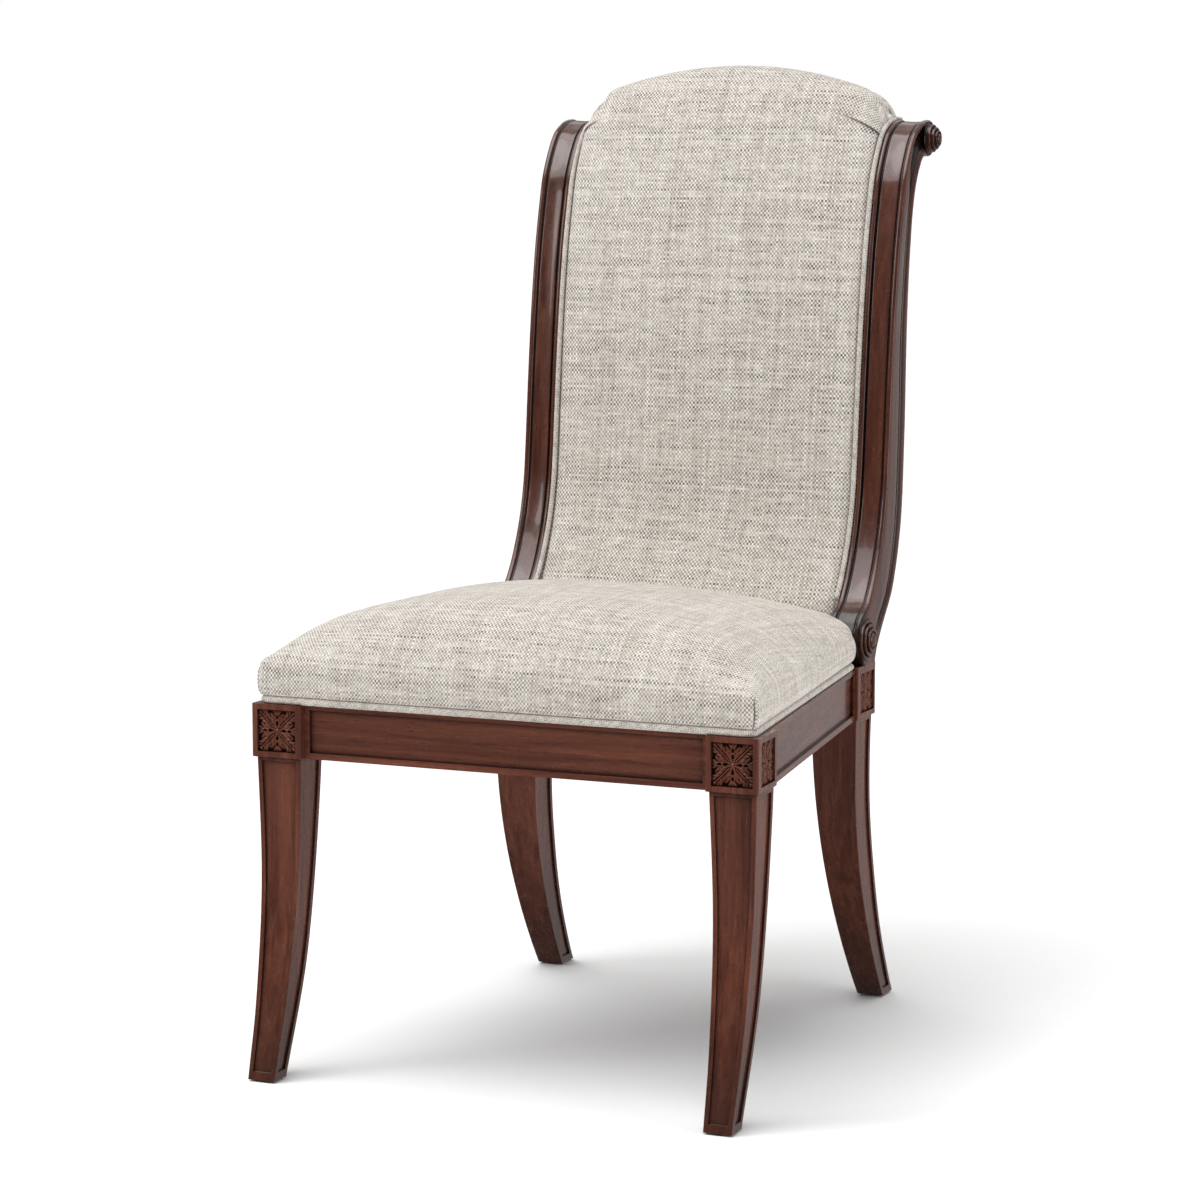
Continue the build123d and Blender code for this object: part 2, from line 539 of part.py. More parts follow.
# ---------------------------------------------------------------- back
def arch(inset, drop):
    """Front-view outline of the back: straight sides and an arched top with round shoulders."""
    right = [(x - inset if x > 100 else x * (1 - inset / 187.3), z - drop) for x, z in ARCH]
    top = right + [(-x, z) for x, z in right[-2::-1]]
    a, b = top[0], top[-1]
    edges = [Spline(*[(x, 400, z) for x, z in top]), Line((b[0], 400, b[1]), (b[0], 400, 380)),
             Line((b[0], 400, 380), (a[0], 400, 380)), Line((a[0], 400, 380), (a[0], 400, a[1]))]
    return Solid.extrude(Face(Wire(edges)), Vector(0, 420, 0))


def profile(front, top, rear, x0, x1):
    """Solid of a closed (y, z) outline: front going up, over the top, rear going down."""
    e = [spl(front + top[1:], x0), spl(rear[::-1], x0), line(rear[0], front[0], x0)]
    return Solid.extrude(Face(Wire(e)), Vector(x1 - x0, 0, 0))


pd = dense(PAD_F + PAD_TOP[1:], 6)                 # bottom, up the front, over the top
rd = dense(PAD_R, 6)                               # bottom, up the rear
pad = one(profile(thin(pd, 6), [None], rd[::6], -200, 200) & arch(0.0, 0.0))
CT = 3.0
pin = offset(pd, CT)
rin = offset(rd, -4.2)
pin = [p for p in pin if not (p[0] > 700 and p[1] < 1036)]
cav_e = [spl(thin(pin, 6), -200), line(thin(pin, 6)[-1], rin[-6], -200), spl(rin[:-5][::-1][::6] + [rin[0]], -200),
         line(rin[0], thin(pin, 6)[0], -200)]
cavity = one(Solid.extrude(Face(Wire(cav_e)), Vector(400, 0, 0)) & arch(COVER_T, CT))
tack_run = dense([(522, 401), (529, 410.5), (540.5, 424.5)] + PAD_R, 6)[:-9]   # outside back, down to the rear rail
outside = one(band(thin(offset(tack_run, -4.0), 6), thin(offset(tack_run, -0.2), 6), -186.0, 186.0))
slot = band(thin(offset(tack_run, -6.0), 6), thin(offset(tack_run, 8.0), 6), -187.8, 187.8)
below_slot = prism_yz([(480, 380), (640, 380), (640, 452), (480, 452)], -184.5, 184.5)
cover = one(pad - cavity - slot - below_slot)
for a, b in bs:
    for q in (1, -1):
        cover = cut(cover, rod(SCREW_R + 0.1, (q * a[0], a[1], a[2]), (q * b[0], b[1], b[2])))
node("back_cover", cover)
node("outside_back", outside)

fo = [p for p in offset(pd, CT + 0.3)]
fo_front = [p for p in fo if p[0] < 684 or p[1] > 1050]
ro = offset(pd, 21.6)
zi = max(i for i, p in enumerate(pd) if p[1] <= 1042 and p[0] < 660)
ro_front = ro[:zi + 1]
A, B = thin(fo_front, 6), thin(ro_front, 6)
foam = one(band(A, B, -200, 200) & arch(COVER_T + 0.3, CT + 0.5))
node("back_foam", foam)


def run(d, z0, z1, k=4):
    """Front profile of the back sunk by d, between two heights of the profile."""
    o = offset(pd[:zi + 6], d)
    sel = [o[i] for i in range(zi + 1) if z0 <= pd[i][1] <= z1]
    return thin(sel, k)


UPX0, UPX1 = 158.0, 184.0
up_f = run(23.7, 470, 982)
up_r = thin([p for p in offset(rd, -5.2) if 462 <= p[1] <= 980], 4)
upright = band(up_f, up_r, UPX0, UPX1)
for a, b in bs:
    upright = cut(upright, *[rod(SCREW_R + 0.05, *longer(a, b, 0.3)), rod(HEAD_R + 0.4, (a[0] - 30, a[1], a[2]), a)])
pair("back_upright_right", "back_upright_left", upright)
crest = one(band(run(23.5, 948, 1042, 2), run(40.0, 948, 1042, 2), -UPX0, UPX0) & arch(20, 26))
node("crest_rail", crest)
node("lower_back_rail", band(run(23.5, 474, 522, 2), run(43.5, 474, 522, 2), -UPX0, UPX0))
node("back_webbing", *[band(run(22.0, z, z + 50, 2), run(23.3, z, z + 50, 2), -UPX1, UPX1)
                       for z in (545, 630, 715, 800, 885)])
bscr = [wood_screw(a, b) for a, b in bs]
node("back_frame_screws", *(bscr + [one(other(s)) for s in bscr]))
wr = [p for p in pd if 476 <= p[1] <= 1003 and p[0] < 650]
pair("back_welt_right", "back_welt_left", band(thin(offset(wr, -5.0), 6), thin(offset(wr, -0.4), 6), 181.0, 187.0))
er = [p for p in rd if 470 <= p[1] <= 1000]
pair("back_edge_welt_right", "back_edge_welt_left", band(thin(offset(er, 0.1), 6), thin(offset(er, 4.0), 6), 182.5, 187.0))


# ---------------------------------------------------------------- write the pieces
shift = Location((0, -Y_CENTRE, 0))
lo, hi = [1e9] * 3, [-1e9] * 3
for name, solids in NODES.items():
    placed = [s.moved(shift) for s in solids]
    shape = placed[0] if len(placed) == 1 else Compound(children=placed)
    bb = shape.bounding_box()
    for k, (a, b) in enumerate(zip(tuple(bb.min), tuple(bb.max))):
        lo[k], hi[k] = min(lo[k], a), max(hi[k], b)
    export_step(shape, f"parts/{name}.step")
print(len(NODES), "pieces; box", [round(v, 2) for v in lo], [round(v, 2) for v in hi])
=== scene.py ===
import bpy
import math
import numpy as np
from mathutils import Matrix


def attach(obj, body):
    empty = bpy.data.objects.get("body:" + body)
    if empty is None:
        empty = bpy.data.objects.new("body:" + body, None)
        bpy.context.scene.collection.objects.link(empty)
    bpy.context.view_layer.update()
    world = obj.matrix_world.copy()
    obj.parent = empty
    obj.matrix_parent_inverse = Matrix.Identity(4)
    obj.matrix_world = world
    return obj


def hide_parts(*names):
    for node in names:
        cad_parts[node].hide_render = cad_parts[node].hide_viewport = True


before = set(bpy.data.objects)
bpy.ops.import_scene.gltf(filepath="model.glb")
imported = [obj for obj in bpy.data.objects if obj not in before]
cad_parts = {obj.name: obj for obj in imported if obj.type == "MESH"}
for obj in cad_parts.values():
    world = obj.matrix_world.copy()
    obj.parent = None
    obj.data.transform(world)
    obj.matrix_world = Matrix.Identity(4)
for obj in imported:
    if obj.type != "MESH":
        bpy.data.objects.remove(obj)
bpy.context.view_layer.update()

# ---------------------------------------------------------------- sizes, in mm
# Working axes as in the part: x to the viewer's right, y to the rear from the front face of the
# front corner blocks, z up from the floor. to_frame() turns them into metres in the row frame.
Y_CENTRE = 335.65
RAIL_Z0, RAIL_Z1 = 339.0, 396.0
STILE_X0, STILE_X1 = 187.5, 224.5
UP_C, UP_R = (690.0, 979.5), 20.8
LO_C, LO_R = (494.0, 424.0), 22.5
STILE_F = [(690.0, 1000.3), (660, 994.5), (637, 980), (611, 940), (598.5, 900), (588.7, 860), (581.4, 820),
           (575.5, 780), (570.5, 740), (566, 700), (562, 660), (558, 620), (552.5, 580), (541.5, 540),
           (522.8, 500), (505, 474), (492, 463.5), (479, 455.5), (470, 445), (466.5, 431), (468.5, 415),
           (475, 404), (482, 398.5)]
PAD_REF = [(499, 438), (502, 455), (509, 472), (525, 500), (542.5, 540), (553, 580), (558.5, 620), (562, 660),
           (566, 700), (570, 740), (575, 780), (581, 820), (588, 860), (597, 900), (608, 940), (622, 980),
           (638, 1015), (656.8, 1050.3), (680.3, 1094.5)]
PAD_R = [(556, 442), (577.5, 476), (597, 518), (608, 562), (612.5, 610), (615, 654), (617, 710), (619, 765),
         (623.5, 820), (629.5, 865), (637, 904), (646, 928), (664, 955), (684, 982), (701, 1008), (710.5, 1034)]
rng = np.random.default_rng(7)


def to_frame(p):
    return (np.asarray(p, float) - np.array([0.0, Y_CENTRE, 0.0])) / 1000.0


def hermite(pts, n=10):
    """Smooth curve through the points, n steps between neighbours."""
    p = np.asarray(pts, float)
    m = len(p)
    t = np.empty_like(p)
    t[1:-1] = (p[2:] - p[:-2]) / 2
    t[0], t[-1] = p[1] - p[0], p[-1] - p[-2]
    k = np.linspace(0, 1, n, endpoint=False)[:, None]
    out = []
    for i in range(m - 1):
        out.append((2 * k**3 - 3 * k**2 + 1) * p[i] + (k**3 - 2 * k**2 + k) * t[i]
                   + (3 * k**2 - 2 * k**3) * p[i + 1] + (k**3 - k**2) * t[i + 1])
    out.append(p[-1:])
    return np.vstack(out)


class Run:
    """A smooth (y, z) profile by arc length, with its forward normal."""

    def __init__(self, pts, n=16):
        d = hermite(pts, n)
        self.s = np.concatenate([[0], np.cumsum(np.hypot(*np.diff(d, axis=0).T))])
        self.d = d
        g = np.gradient(d, self.s, axis=0)
        g /= np.linalg.norm(g, axis=1)[:, None]
        self.t = g
        self.length = self.s[-1]

    def at(self, s):
        return np.stack([np.interp(s, self.s, self.d[:, 0]), np.interp(s, self.s, self.d[:, 1])], -1)

    def normal(self, s):
        ty, tz = np.interp(s, self.s, self.t[:, 0]), np.interp(s, self.s, self.t[:, 1])
        n = np.hypot(ty, tz)
        return np.stack([-tz / n, ty / n], -1)

    def s_of_z(self, z):
        return float(np.interp(z, self.d[:, 1], self.s))


# ---------------------------------------------------------------- materials
class Tree:
    """Small helper for node trees."""

    def __init__(self, name):
        self.mat = bpy.data.materials.new(name)
        self.mat.use_nodes = True
        self.t = self.mat.node_tree
        self.t.nodes.clear()
        self.out = self.t.nodes.new("ShaderNodeOutputMaterial")
        self.bsdf = self.t.nodes.new("ShaderNodeBsdfPrincipled")
        self.t.links.new(self.bsdf.outputs[0], self.out.inputs[0])

    def node(self, kind, props=None, **ins):
        n = self.t.nodes.new("ShaderNode" + kind)
        for k, v in (props or {}).items():
            setattr(n, k, v)
        for k, v in ins.items():
            self.put(n, k, v)
        return n

    def put(self, n, key, v):
        sock = n.inputs[int(key[1:])] if key[0] == "i" and key[1:].isdigit() else n.inputs[key.replace("_", " ")]
        if isinstance(v, bpy.types.NodeSocket):
            self.t.links.new(v, sock)
        elif isinstance(v, bpy.types.Node):
            self.t.links.new(v.outputs[0], sock)
        else:
            sock.default_value = v

    def math(self, op, a, b=None, c=None, clamp=False):
        n = self.node("Math", {"operation": op, "use_clamp": clamp})
        for i, v in enumerate((a, b, c)):
            if v is not None:
                self.put(n, f"i{i}", v)
        return n.outputs[0]

    def mix(self, f, a, b, kind="MIX"):
        n = self.node("Mix", {"data_type": "RGBA", "blend_type": kind})
        self.put(n, "i0", f)
        self.put(n, "i6", a)
        self.put(n, "i7", b)
        return n.outputs[2]

    def ramp(self, f, stops, interp="LINEAR"):
        n = self.node("ValToRGB")
        n.color_ramp.interpolation = interp
        els = n.color_ramp.elements
        while len(els) < len(stops):
            els.new(0.5)
        for e, (p, c) in zip(els, stops):
            e.position = p
            e.color = (*c, 1) if len(c) == 3 else (c[0], c[0], c[0], 1)
        self.put(n, "Fac", f)
        return n.outputs[0]

    def range(self, v, a, b, c=0.0, d=1.0, smooth=False):
        n = self.node("MapRange", {"interpolation_type": "SMOOTHSTEP" if smooth else "LINEAR", "clamp": True})
        for k, x in zip(("Value", "From Min", "From Max", "To Min", "To Max"), (v, a, b, c, d)):
            self.put(n, k, x)
        return n.outputs[0]

    def vec(self, x, y, z=0.0):
        n = self.node("CombineXYZ")
        for i, v in enumerate((x, y, z)):
            self.put(n, f"i{i}", v)
        return n.outputs[0]

    def noise(self, vector, scale=1.0, detail=2.0, rough=0.5, distort=0.0, dims="3D"):
        n = self.node("TexNoise", {"noise_dimensions": dims})
        for k, v in (("Vector", vector), ("Scale", scale), ("Detail", detail), ("Roughness", rough), ("Distortion", distort)):
            self.put(n, k, v)
        return n.outputs[0]

    def scaled(self, vector, s):
        n = self.node("Mapping", {"vector_type": "POINT"})
        self.put(n, "Vector", vector)
        n.inputs["Scale"].default_value = s
        return n.outputs[0]

    def bump(self, height, strength, distance):
        n = self.node("Bump")
        n.inputs["Strength"].default_value = strength
        n.inputs["Distance"].default_value = distance
        self.put(n, "Height", height)
        self.put(self.bsdf, "Normal", n.outputs[0])


def linen(name, turn=0.0, warp_pitch=0.0020, weft_pitch=0.0024, gain=1.0):
    """Plain-weave linen: pale warp, flecked taupe weft, uneven yarn by yarn, over and under."""
    T = Tree(name)
    uv = T.node("TexCoord").outputs["UV"]
    rot = T.node("Mapping", {"vector_type": "POINT"})
    T.put(rot, "Vector", uv)
    rot.inputs["Rotation"].default_value = (0, 0, turn)
    wob = T.node("TexNoise", {"noise_dimensions": "2D"}, Vector=rot.outputs[0], Scale=9.0, Detail=1.0)
    off = T.node("VectorMath", {"operation": "SUBTRACT"}, i0=wob.outputs["Color"], i1=(0.5, 0.5, 0.5))
    off = T.node("VectorMath", {"operation": "SCALE"}, i0=off.outputs[0], Scale=0.004)
    p = T.node("VectorMath", {"operation": "ADD"}, i0=rot.outputs[0], i1=off.outputs[0]).outputs[0]
    sep = T.node("SeparateXYZ", Vector=p)
    u, v = sep.outputs[0], sep.outputs[1]
    wu, wv = T.math("DIVIDE", u, warp_pitch), T.math("DIVIDE", v, weft_pitch)
    iu, iv = T.math("FLOOR", wu), T.math("FLOOR", wv)
    a = T.math("MULTIPLY", T.math("SINE", T.math("MULTIPLY", wu, math.pi)), T.math("SINE", T.math("MULTIPLY", wv, math.pi)))
    over = T.range(a, -0.22, 0.22, smooth=True)
    ru = T.node("TexWhiteNoise", {"noise_dimensions": "1D"}, W=iu).outputs["Value"]
    rv = T.node("TexWhiteNoise", {"noise_dimensions": "1D"}, W=iv).outputs["Value"]
    cell = T.node("TexWhiteNoise", {"noise_dimensions": "2D"}, Vector=T.vec(iu, iv)).outputs["Value"]
    # each yarn has its own tone, which drifts and slubs along it
    warp = T.noise(T.vec(T.math("MULTIPLY", ru, 571.0), T.math("MULTIPLY", v, 42.0)), 1.0, 2.0, 0.6, dims="2D")
    weft = T.noise(T.vec(T.math("MULTIPLY", u, 50.0), T.math("MULTIPLY", rv, 613.0)), 1.0, 2.0, 0.6, dims="2D")

    def tone(mid, *terms):
        for q, k in terms:
            mid = T.math("ADD", mid, T.math("MULTIPLY", T.math("SUBTRACT", q, 0.5), k))
        return mid

    t_warp = tone(0.495 + 0.16 * gain, (warp, 0.42), (ru, 0.16), (cell, 0.08))
    t_weft = tone(0.495 - 0.16 * gain, (weft, 0.66), (rv, 0.20), (cell, 0.12))
    t = T.math("ADD", T.math("MULTIPLY", t_weft, T.math("SUBTRACT", 1.0, over)), T.math("MULTIPLY", t_warp, over))
    cloud = T.noise(rot.outputs[0], 7.0, 3.0, 0.55, dims="2D")
    streak = T.noise(T.vec(T.math("MULTIPLY", u, 230.0), T.math("MULTIPLY", v, 12.0)), 1.0, 2.0, 0.6, dims="2D")
    slub = T.noise(T.vec(T.math("MULTIPLY", u, 15.0), T.math("MULTIPLY", v, 230.0)), 1.0, 2.0, 0.6, dims="2D")
    t = tone(t, (cloud, 0.04), (streak, 0.14), (slub, 0.16))
    # painted shade between yarns: each yarn is darkened where it dips under the crossing yarns
    edge = T.math("POWER", T.math("ABSOLUTE", a), 0.5)
    t = T.math("MULTIPLY", t, T.range(edge, 0.0, 0.42, 0.76, 1.0))
    col = T.ramp(t, [(0.05, (0.058, 0.047, 0.039)), (0.30, (0.335, 0.294, 0.257)), (0.55, (0.600, 0.552, 0.498)),
                     (0.80, (0.830, 0.808, 0.756)), (0.95, (0.950, 0.944, 0.908))])
    # painted shade: a per-vertex attribute darkens creases, pleat folds and the gaps beside the piping nearly to black,
    # where shade falls
    seam_shade = T.node("Attribute", {"attribute_name": "seam_shade"}).outputs["Fac"]
    col = T.mix(seam_shade, col, (0.030, 0.025, 0.021, 1))
    T.put(T.bsdf, "Base Color", col)
    T.put(T.bsdf, "Roughness", T.range(cell, 0.0, 1.0, 0.84, 0.95))
    T.bsdf.inputs["Sheen Weight"].default_value = 0.10
    T.bsdf.inputs["Sheen Roughness"].default_value = 0.5
    T.bsdf.inputs["Specular IOR Level"].default_value = 0.22
    h = T.math("ADD", T.math("MULTIPLY", edge, 0.7), T.math("ADD", T.math("MULTIPLY", warp, 0.35), T.math("MULTIPLY", weft, 0.35)))
    T.bump(h, 0.35, 0.0004)
    return T.mat


def wood(name, grain, stain=1.0, glaze_and_shade=True, carved=False, bare=False):
    """Stained mahogany under satin lacquer; grain is the axis that the fibres run along."""
    T = Tree(name)
    co = T.node("TexCoord").outputs["Object"]
    along = {"x": 0, "y": 1, "z": 2}[grain]

    def stretch(a, l):
        s = [a, a, a]
        s[along] = l
        return T.scaled(co, s)

    fine = T.noise(stretch(150.0, 5.5), 1.0, 8.0, 0.62, 0.35)
    broad = T.noise(stretch(26.0, 1.7), 1.0, 4.0, 0.55, 0.9)
    flame = T.noise(stretch(60.0, 2.6), 1.0, 3.0, 0.5, 1.6)
    pores = T.noise(stretch(1500.0, 60.0), 1.0, 1.0, 0.4)
    tone = T.math("ADD", T.math("MULTIPLY", fine, 0.42), T.math("MULTIPLY", broad, 0.34))
    tone = T.math("ADD", tone, T.math("MULTIPLY", flame, 0.24))
    if bare:
        col = T.ramp(tone, [(0.32, (0.36, 0.235, 0.13)), (0.5, (0.55, 0.40, 0.25)), (0.68, (0.68, 0.54, 0.37))])
    else:
        k = stain
        col = T.ramp(tone, [(0.30, (0.030 * k, 0.0085 * k, 0.0060 * k)), (0.43, (0.072 * k, 0.0215 * k, 0.0130 * k)),
                            (0.55, (0.118 * k, 0.0365 * k, 0.0205 * k)), (0.70, (0.185 * k, 0.0620 * k, 0.0335 * k))])
    dark = (0.16, 0.10, 0.055, 1) if bare else (0.014, 0.0060, 0.0048, 1)
    col = T.mix(T.range(pores, 0.60, 0.74, 0.0, 0.55), col, dark)
    # painted shade in recesses and corners, found by ambient occlusion: partly a dark glazing, partly shadow
    if glaze_and_shade:
        ao = T.node("AmbientOcclusion", {"samples": 6, "only_local": True})
        ao.inputs["Distance"].default_value = 0.0065
        recess_shade = T.range(ao.outputs["AO"], 0.45, 0.94, 0.95, 0.0)
        col = T.mix(recess_shade, col, (0.0085, 0.0042, 0.0036, 1))
    if not bare:
        # the colour is darker towards the feet
        foot_ = T.range(T.node("SeparateXYZ", Vector=co).outputs[2], 0.0, 0.20, 0.62, 0.0, smooth=True)
        col = T.mix(foot_, col, (0.024, 0.0090, 0.0068, 1))
        # painted shade from the 'low' attribute: grooves, carving hollows, the front of the lower scroll and a ring
        # round each boss go nearly black, partly dark glazing, partly shadow
        low = T.node("Attribute", {"attribute_name": "low"}).outputs["Fac"]
        col = T.mix(low, col, (0.0060, 0.0030, 0.0026, 1))
    T.put(T.bsdf, "Base Color", col)
    smear = T.noise(co, 38.0, 3.0, 0.6)
    if bare:
        T.put(T.bsdf, "Roughness", T.range(smear, 0.3, 0.7, 0.62, 0.78))
        T.bsdf.inputs["Specular IOR Level"].default_value = 0.35
    else:
        T.put(T.bsdf, "Roughness", T.range(T.math("ADD", T.math("MULTIPLY", smear, 0.6), T.math("MULTIPLY", fine, 0.4)),
                                           0.3, 0.7, 0.20, 0.32))
        T.bsdf.inputs["Specular IOR Level"].default_value = 0.20 if carved else 0.42
        T.put(T.bsdf, "Coat Weight", T.range(low, 0.0, 1.0, 0.55, 0.0))
        T.bsdf.inputs["Coat Roughness"].default_value = 0.07
        T.bsdf.inputs["Coat IOR"].default_value = 1.45
    hh = T.math("SUBTRACT", T.math("MULTIPLY", fine, 0.35), T.math("MULTIPLY", T.range(pores, 0.58, 0.74), 0.8))
    T.bump(hh, 0.08 if not bare else 0.25, 0.0004)
    return T.mat


def steel(name):
    T = Tree(name)
    co = T.node("TexCoord").outputs["Object"]
    n = T.noise(T.scaled(co, (90.0, 90.0, 900.0)), 1.0, 4.0, 0.6)
    T.put(T.bsdf, "Base Color", T.ramp(n, [(0.3, (0.42, 0.40, 0.35)), (0.7, (0.66, 0.64, 0.58))]))
    T.bsdf.inputs["Metallic"].default_value = 1.0
    T.put(T.bsdf, "Roughness", T.range(n, 0.3, 0.7, 0.28, 0.46))
    T.bump(n, 0.15, 0.0003)
    return T.mat


def plastic(name):
    T = Tree(name)
    co = T.node("TexCoord").outputs["Object"]
    n = T.noise(co, 900.0, 3.0, 0.6)
    T.put(T.bsdf, "Base Color", T.ramp(n, [(0.3, (0.018, 0.013, 0.011)), (0.7, (0.035, 0.026, 0.021))]))
    T.put(T.bsdf, "Roughness", T.range(n, 0.3, 0.7, 0.45, 0.6))
    T.bump(n, 0.2, 0.0002)
    return T.mat


def woven(name, c0, c1, pitch, depth, rough=0.9):
    """Plain coarse weave placed by position, for webbing, cambric and foam that stay inside or below."""
    T = Tree(name)
    co = T.node("TexCoord").outputs["Object"]
    sep = T.node("SeparateXYZ", Vector=co)
    k = math.pi / pitch
    sx = T.math("SINE", T.math("MULTIPLY", sep.outputs[0], k))
    sy = T.math("SINE", T.math("MULTIPLY", T.math("ADD", sep.outputs[1], sep.outputs[2]), k))
    a = T.math("ABSOLUTE", T.math("MULTIPLY", sx, sy))
    n = T.noise(co, 240.0, 4.0, 0.6)
    tone = T.math("ADD", T.math("MULTIPLY", a, 0.4), T.math("MULTIPLY", n, 0.6))
    T.put(T.bsdf, "Base Color", T.ramp(tone, [(0.25, c0), (0.75, c1)]))
    T.put(T.bsdf, "Roughness", T.range(n, 0.3, 0.7, rough - 0.08, rough))
    T.bump(tone, 0.5, depth)
    return T.mat


M_LINEN = linen("linen")
M_BACK = linen("linen_back", 0.0, 0.0022, 0.0026, 1.16)
M_BIAS = linen("linen_bias", math.radians(45), 0.0012, 0.0014)
M_WOOD = {g: wood("mahogany_" + g, g, stain=1.28) for g in "xyz"}
M_CARVED = wood("carved_mahogany", "z", stain=1.35, glaze_and_shade=False, carved=True)
# the stiles and bosses take a darker copy of the mahogany: painted shade
M_STILE_SHADED = wood("shaded_stile_mahogany", "z", stain=0.80)
M_BARE = {g: wood("frame_hardwood_" + g, g, glaze_and_shade=False, bare=True) for g in "xyz"}
M_STEEL = steel("zinc_steel")
M_PLASTIC = plastic("glide_plastic")
M_JUTE = woven("jute_webbing", (0.22, 0.15, 0.08), (0.50, 0.39, 0.24), 0.0022, 0.0006)
M_CAMBRIC = woven("black_cambric", (0.012, 0.012, 0.014), (0.036, 0.036, 0.040), 0.0008, 0.0002)
M_FOAM = woven("foam", (0.70, 0.64, 0.46), (0.86, 0.82, 0.66), 0.0031, 0.0005)


def dress(node, mat):
    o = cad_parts[node]
    o.data.materials.clear()
    o.data.materials.append(mat)


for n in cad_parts:
    if n.startswith(("front_leg", "rear_leg", "back_stile", "upper_scroll", "lower_scroll")):
        dress(n, M_WOOD["z"])
    elif n in ("front_rail", "rear_rail"):
        dress(n, M_WOOD["x"])
    elif n.startswith("side_rail"):
        dress(n, M_WOOD["y"])
    elif "patera" in n:
        dress(n, M_CARVED)
    elif n.startswith(("corner_block", "seat_frame_front", "seat_frame_rear", "crest", "lower_back")) and "screws" not in n:
        dress(n, M_BARE["x"])
    elif n.startswith("seat_frame"):
        dress(n, M_BARE["y"])
    elif n.startswith("back_upright") or n.endswith("dowels"):
        dress(n, M_BARE["z"])
    elif "screws" in n:
        dress(n, M_STEEL)
    elif n == "foot_glides":
        dress(n, M_PLASTIC)
    elif "webbing" in n:
        dress(n, M_JUTE)
    elif n.endswith("foam"):
        dress(n, M_FOAM)
    elif n == "dust_cover":
        dress(n, M_CAMBRIC)
    else:
        dress(n, M_LINEN)


# ---------------------------------------------------------------- mesh helpers
def piece(name, verts, faces, mat, uv=None, attrs=None, body="root"):
    me = bpy.data.meshes.new(name)
    me.from_pydata(to_frame(verts).tolist(), [], [tuple(int(i) for i in f) for f in faces])
    if uv is not None:
        layer = me.uv_layers.new(name="UVMap")
        layer.data.foreach_set("uv", np.concatenate([np.asarray(q, np.float32).reshape(-1) for q in uv]))
    for k, v in (attrs or {}).items():
        at = me.attributes.new(k, "FLOAT", "POINT")
        at.data.foreach_set("value", np.asarray(v, np.float32))
    me.polygons.foreach_set("use_smooth", np.ones(len(me.polygons), bool))
    me.update()
    o = bpy.data.objects.new(name, me)
    bpy.context.scene.collection.objects.link(o)
    me.materials.append(mat)
    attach(o, body)
    return o


def round_corner(dx, dy, r):
    """Bends the square corner of a grid, by its distances from two edges, to an arc of radius r."""
    p, q = np.clip((r - dx) / r, 0, 1), np.clip((r - dy) / r, 0, 1)
    m = np.maximum(p, q)
    inside = (dx < r) & (dy < r) & (m > 1e-9)
    with np.errstate(divide="ignore", invalid="ignore"):
        th = np.where(p >= q, (math.pi / 4) * (q / np.where(p > 0, p, 1)), math.pi / 2 - (math.pi / 4) * (p / np.where(q > 0, q, 1)))
    return np.where(inside, r * (1 - m * np.cos(th)), dx), np.where(inside, r * (1 - m * np.sin(th)), dy)


def drop(d, r):
    """Fall of a round edge of radius r at distance d in from it."""
    return r * (1 - np.sqrt(np.clip(1 - (1 - np.clip(d / r, 0, 1)) ** 2, 0, 1)))


def rim_of(cells):
    """Ordered rim of the kept cells of a grid, as (i, j) corners."""
    n, m = cells.shape
    nxt = {}
    has = lambda i, j: 0 <= i < n and 0 <= j < m and cells[i, j]
    for i in range(n):
        for j in range(m):
            if not cells[i, j]:
                continue
            for a, b, q in (((i, j), (i + 1, j), (i, j - 1)), ((i + 1, j), (i + 1, j + 1), (i + 1, j)),
                            ((i + 1, j + 1), (i, j + 1), (i, j + 1)), ((i, j + 1), (i, j), (i - 1, j))):
                if not has(*q):
                    nxt[a] = b
    start = min(nxt)
    loop, at = [start], nxt[start]
    while at != start:
        loop.append(at)
        at = nxt[at]
    return loop


